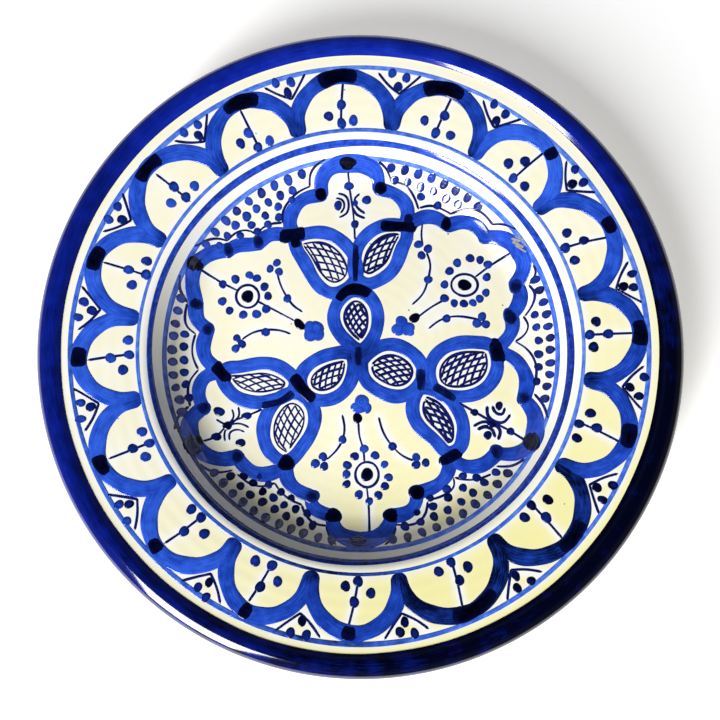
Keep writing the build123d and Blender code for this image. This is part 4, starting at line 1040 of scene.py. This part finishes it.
# ---------------------------------------------------------------- kiln specks
# A few iron specks of 0.6 to 1 mm came up through the white glaze in the firing. They are matt grey
# brown and stand a little proud of the glaze.
SPECKS = [
    (43, 58.2, 0.45), (25.6, 55.6, 0.4), (69.4, 22.8, 0.4), (23.4, 20.3, 0.4), (4.6, 53.2, 0.4),
    (-34, 13.5, 0.35),
    (38, 80.5, 0.4), (46.5, 66, 0.3), (62.5, -109.5, 0.45), (-50, 102, 0.35), (28.6, 121, 0.4),
    (-8, 122.8, 0.35),
    (93, -72, 0.3), (-112, -33, 0.3), (-24, -15.5, 0.3),
]
speck_brown, tree, shader = begin("iron speck in glaze")
place = add(tree, "TexCoord").outputs["Object"]
cloud = add(tree, "TexNoise", {"Vector": place, "Scale": 1000 / 0.5}).outputs["Fac"]
tone = add(tree, "Mix", {0: cloud, 6: linear("#6A6258"), 7: linear("#A39B88")}, data_type="RGBA").outputs[2]
tree.links.new(tone, shader.inputs["Base Color"])
shader.inputs["Roughness"].default_value = 0.2
specks = gathered("kiln_specks", [dabs([(x, y, r, r * 1.2, 30) for x, y, r in SPECKS], 0.05, 10, 12)],
                  speck_brown)

# ---------------------------------------------------------------- scorched tip
# At the tip of the far right petal the cobalt boiled in the kiln and left a dull brown grey scar
# of a few short streaks over the blue.
SCARS = [
    ([(73, 54.5), (76.5, 52.8)], 1.0), ([(73.8, 53), (78, 50)], 1.3), ([(75, 51.2), (79.5, 47.6)], 1.0),
    ([(77, 53), (79.8, 50)], 0.8), ([(74.6, 55.2), (78, 53.2)], 0.7),
]
scorched, tree, shader = begin("scorched cobalt")
place = add(tree, "TexCoord").outputs["Object"]
cloud = add(tree, "TexNoise", {"Vector": place, "Scale": 1000 / 1.6, "Detail": 3.0}).outputs["Fac"]
tone = add(tree, "Mix", {0: cloud, 6: linear("#3E4A78"), 7: linear("#B4AC8C")}, data_type="RGBA").outputs[2]
tree.links.new(tone, shader.inputs["Base Color"])
shader.inputs["Roughness"].default_value = 0.35
strokes = [stroke(points, width, 0.26, 0.7, key=key, shake=0.3) for key, (points, width) in enumerate(SCARS)]
scar = gathered("scorched_tip_of_petal", strokes, scorched)

# ---------------------------------------------------------------- back and base glaze
# The underside is dipped in the same white glaze up to the foot, thinner than the face, so that the
# turning rings show through it in warm lines; the disc inside the foot is glazed by brush.
back_glaze, tree, shader = begin("thin white glaze over turning rings")
place = add(tree, "TexCoord").outputs["Object"]
axes = add(tree, "SeparateXYZ", {0: place}).outputs
flat = add(tree, "CombineXYZ", {0: axes[0], 1: axes[1]}).outputs[0]
radius = add(tree, "VectorMath", {0: flat}, operation="LENGTH").outputs[1]
band = add(tree, "CombineXYZ", {0: radius}).outputs[0]
rings_tone = add(tree, "TexNoise", {"Vector": band, "Scale": 1000 / 3.5, "Detail": 2.0}).outputs["Fac"]
cloud = add(tree, "TexNoise", {"Vector": place, "Scale": 1000 / 25, "Detail": 4.0}).outputs["Fac"]
mixed = add(tree, "Mix", {0: 0.5, 2: rings_tone, 3: cloud}, data_type="FLOAT").outputs[0]
thin = add(tree, "MapRange", {"Value": mixed, "From Min": 0.5, "From Max": 0.72}).outputs[0]
tone = add(tree, "Mix", {0: cloud, 6: linear("#FBF7E2"), 7: linear("#F4ECCB")}, data_type="RGBA").outputs[2]
tone = add(tree, "Mix", {0: thin, 6: tone, 7: linear("#E2BE98")}, data_type="RGBA").outputs[2]
tree.links.new(tone, shader.inputs["Base Color"])
rough = add(tree, "MapRange", {"Value": cloud, "From Min": 0.3, "From Max": 0.7, "To Min": 0.14,
                               "To Max": 0.26}).outputs[0]
tree.links.new(rough, shader.inputs["Roughness"])
bump = add(tree, "Bump", {"Height": rings_tone, "Strength": 0.4, "Distance": 0.0004}).outputs[0]
tree.links.new(bump, shader.inputs["Normal"])
outer = coat_line(UNDER, UNDER_RADII, GLAZE, 1.3)
outer[:, 1] -= 0.06 * (1 + np.sin(2 * np.pi * outer[:, 0] / 5.0)) * (outer[:, 0] < 144) * (outer[:, 0] > 79)
inner = coat_line(UNDER, UNDER_RADII, 0.0, 4.0)[::-1]
verts, quads, tris = lathe(np.vstack([outer, inner]), 480)
back = piece("white_glaze_on_back", verts, quads, tris, back_glaze)
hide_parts("back_glaze")

disc = np.array([(0, 9.0), *[(r, 9.0) for r in np.linspace(5, 65.4, 14)], (65.45, 8.8), (65.2, 8.62),
                 *[(r, 8.5 + 0.05 * np.sin(2 * np.pi * r / 7.0)) for r in np.linspace(64.6, 1.2, 48)],
                 (0, 8.5)])
verts, quads, tris = lathe(disc, 300, 0.0)
base = piece("white_glaze_inside_foot", verts, quads, tris, back_glaze)
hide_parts("base_glaze")

# ---------------------------------------------------------------- studio
# A pale floor that glows a little, in a dim room that is darkest overhead, so that the glossy glaze
# shows its own colours from above. One tall window at the near left lights the plate.
bpy.context.scene.view_settings.view_transform = "Standard"
mesh = bpy.data.meshes.new("floor")
mesh.from_pydata([(-6, -6, 0), (6, -6, 0), (6, 6, 0), (-6, 6, 0)], [], [(0, 1, 2, 3)])
floor = bpy.data.objects.new("floor", mesh)
bpy.context.scene.collection.objects.link(floor)
pale, tree, shader = begin("pale matt floor")
shader.inputs["Base Color"].default_value = linear("#F6F6F6")
shader.inputs["Roughness"].default_value = 0.9
shader.inputs["Specular IOR Level"].default_value = 0.0
shader.inputs["Emission Color"].default_value = linear("#FFFFFF")
shader.inputs["Emission Strength"].default_value = 0.45
mesh.materials.append(pale)

world = bpy.data.worlds.new("studio")
world.use_nodes = True
sky = world.node_tree
height = add(sky, "SeparateXYZ", {0: add(sky, "TexCoord").outputs["Generated"]}).outputs[2]
fall = add(sky, "MapRange", {"Value": height, "From Min": 0.5, "From Max": 0.86, "To Min": 1.42,
                             "To Max": 0.06})
sky.links.new(fall.outputs[0], sky.nodes["Background"].inputs["Strength"])
bpy.context.scene.world = world


def lamp(name, place, target, size, power, tall=None):
    """An area lamp in metres and watts, turned to face a target."""
    light = bpy.data.lights.new(name, "AREA")
    light.shape = "RECTANGLE"
    light.size, light.size_y, light.energy = size, tall or size, power
    lit = bpy.data.objects.new(name, light)
    lit.location = place
    lit.rotation_euler = (Vector(target) - Vector(place)).to_track_quat("-Z", "Y").to_euler()
    bpy.context.scene.collection.objects.link(lit)


lamp("window", (-0.52, -0.78, 0.72), (0, 0, 0.03), 0.4, 26, 0.95)

# ---------------------------------------------------------------- camera
# Nearly overhead, 0.44 m from the plate, leaning 5.4 degrees towards the near edge. The lens is
# 47.57 mm long over a 36 mm sensor, shifted by a small part of its width.
tilt, swing = np.radians(5.4), np.radians(-5.0)
back_way = Vector((np.sin(swing) * np.sin(tilt), -np.cos(swing) * np.sin(tilt), np.cos(tilt)))
view = bpy.data.cameras.new("camera")
view.sensor_width = 36
view.lens = 47.57
view.shift_x = -0.001917
view.shift_y = -0.018111
view.clip_start, view.clip_end = 0.01, 20
camera = bpy.data.objects.new("camera", view)
camera.location = Vector((0, 0, 0.04)) + back_way * 0.44
forward = -back_way
right = forward.cross(Vector((0, 1, 0))).normalized()
up = right.cross(forward)
camera.rotation_euler = Matrix((right, up, back_way)).transposed().to_euler()
bpy.context.scene.collection.objects.link(camera)
bpy.context.scene.camera = camera
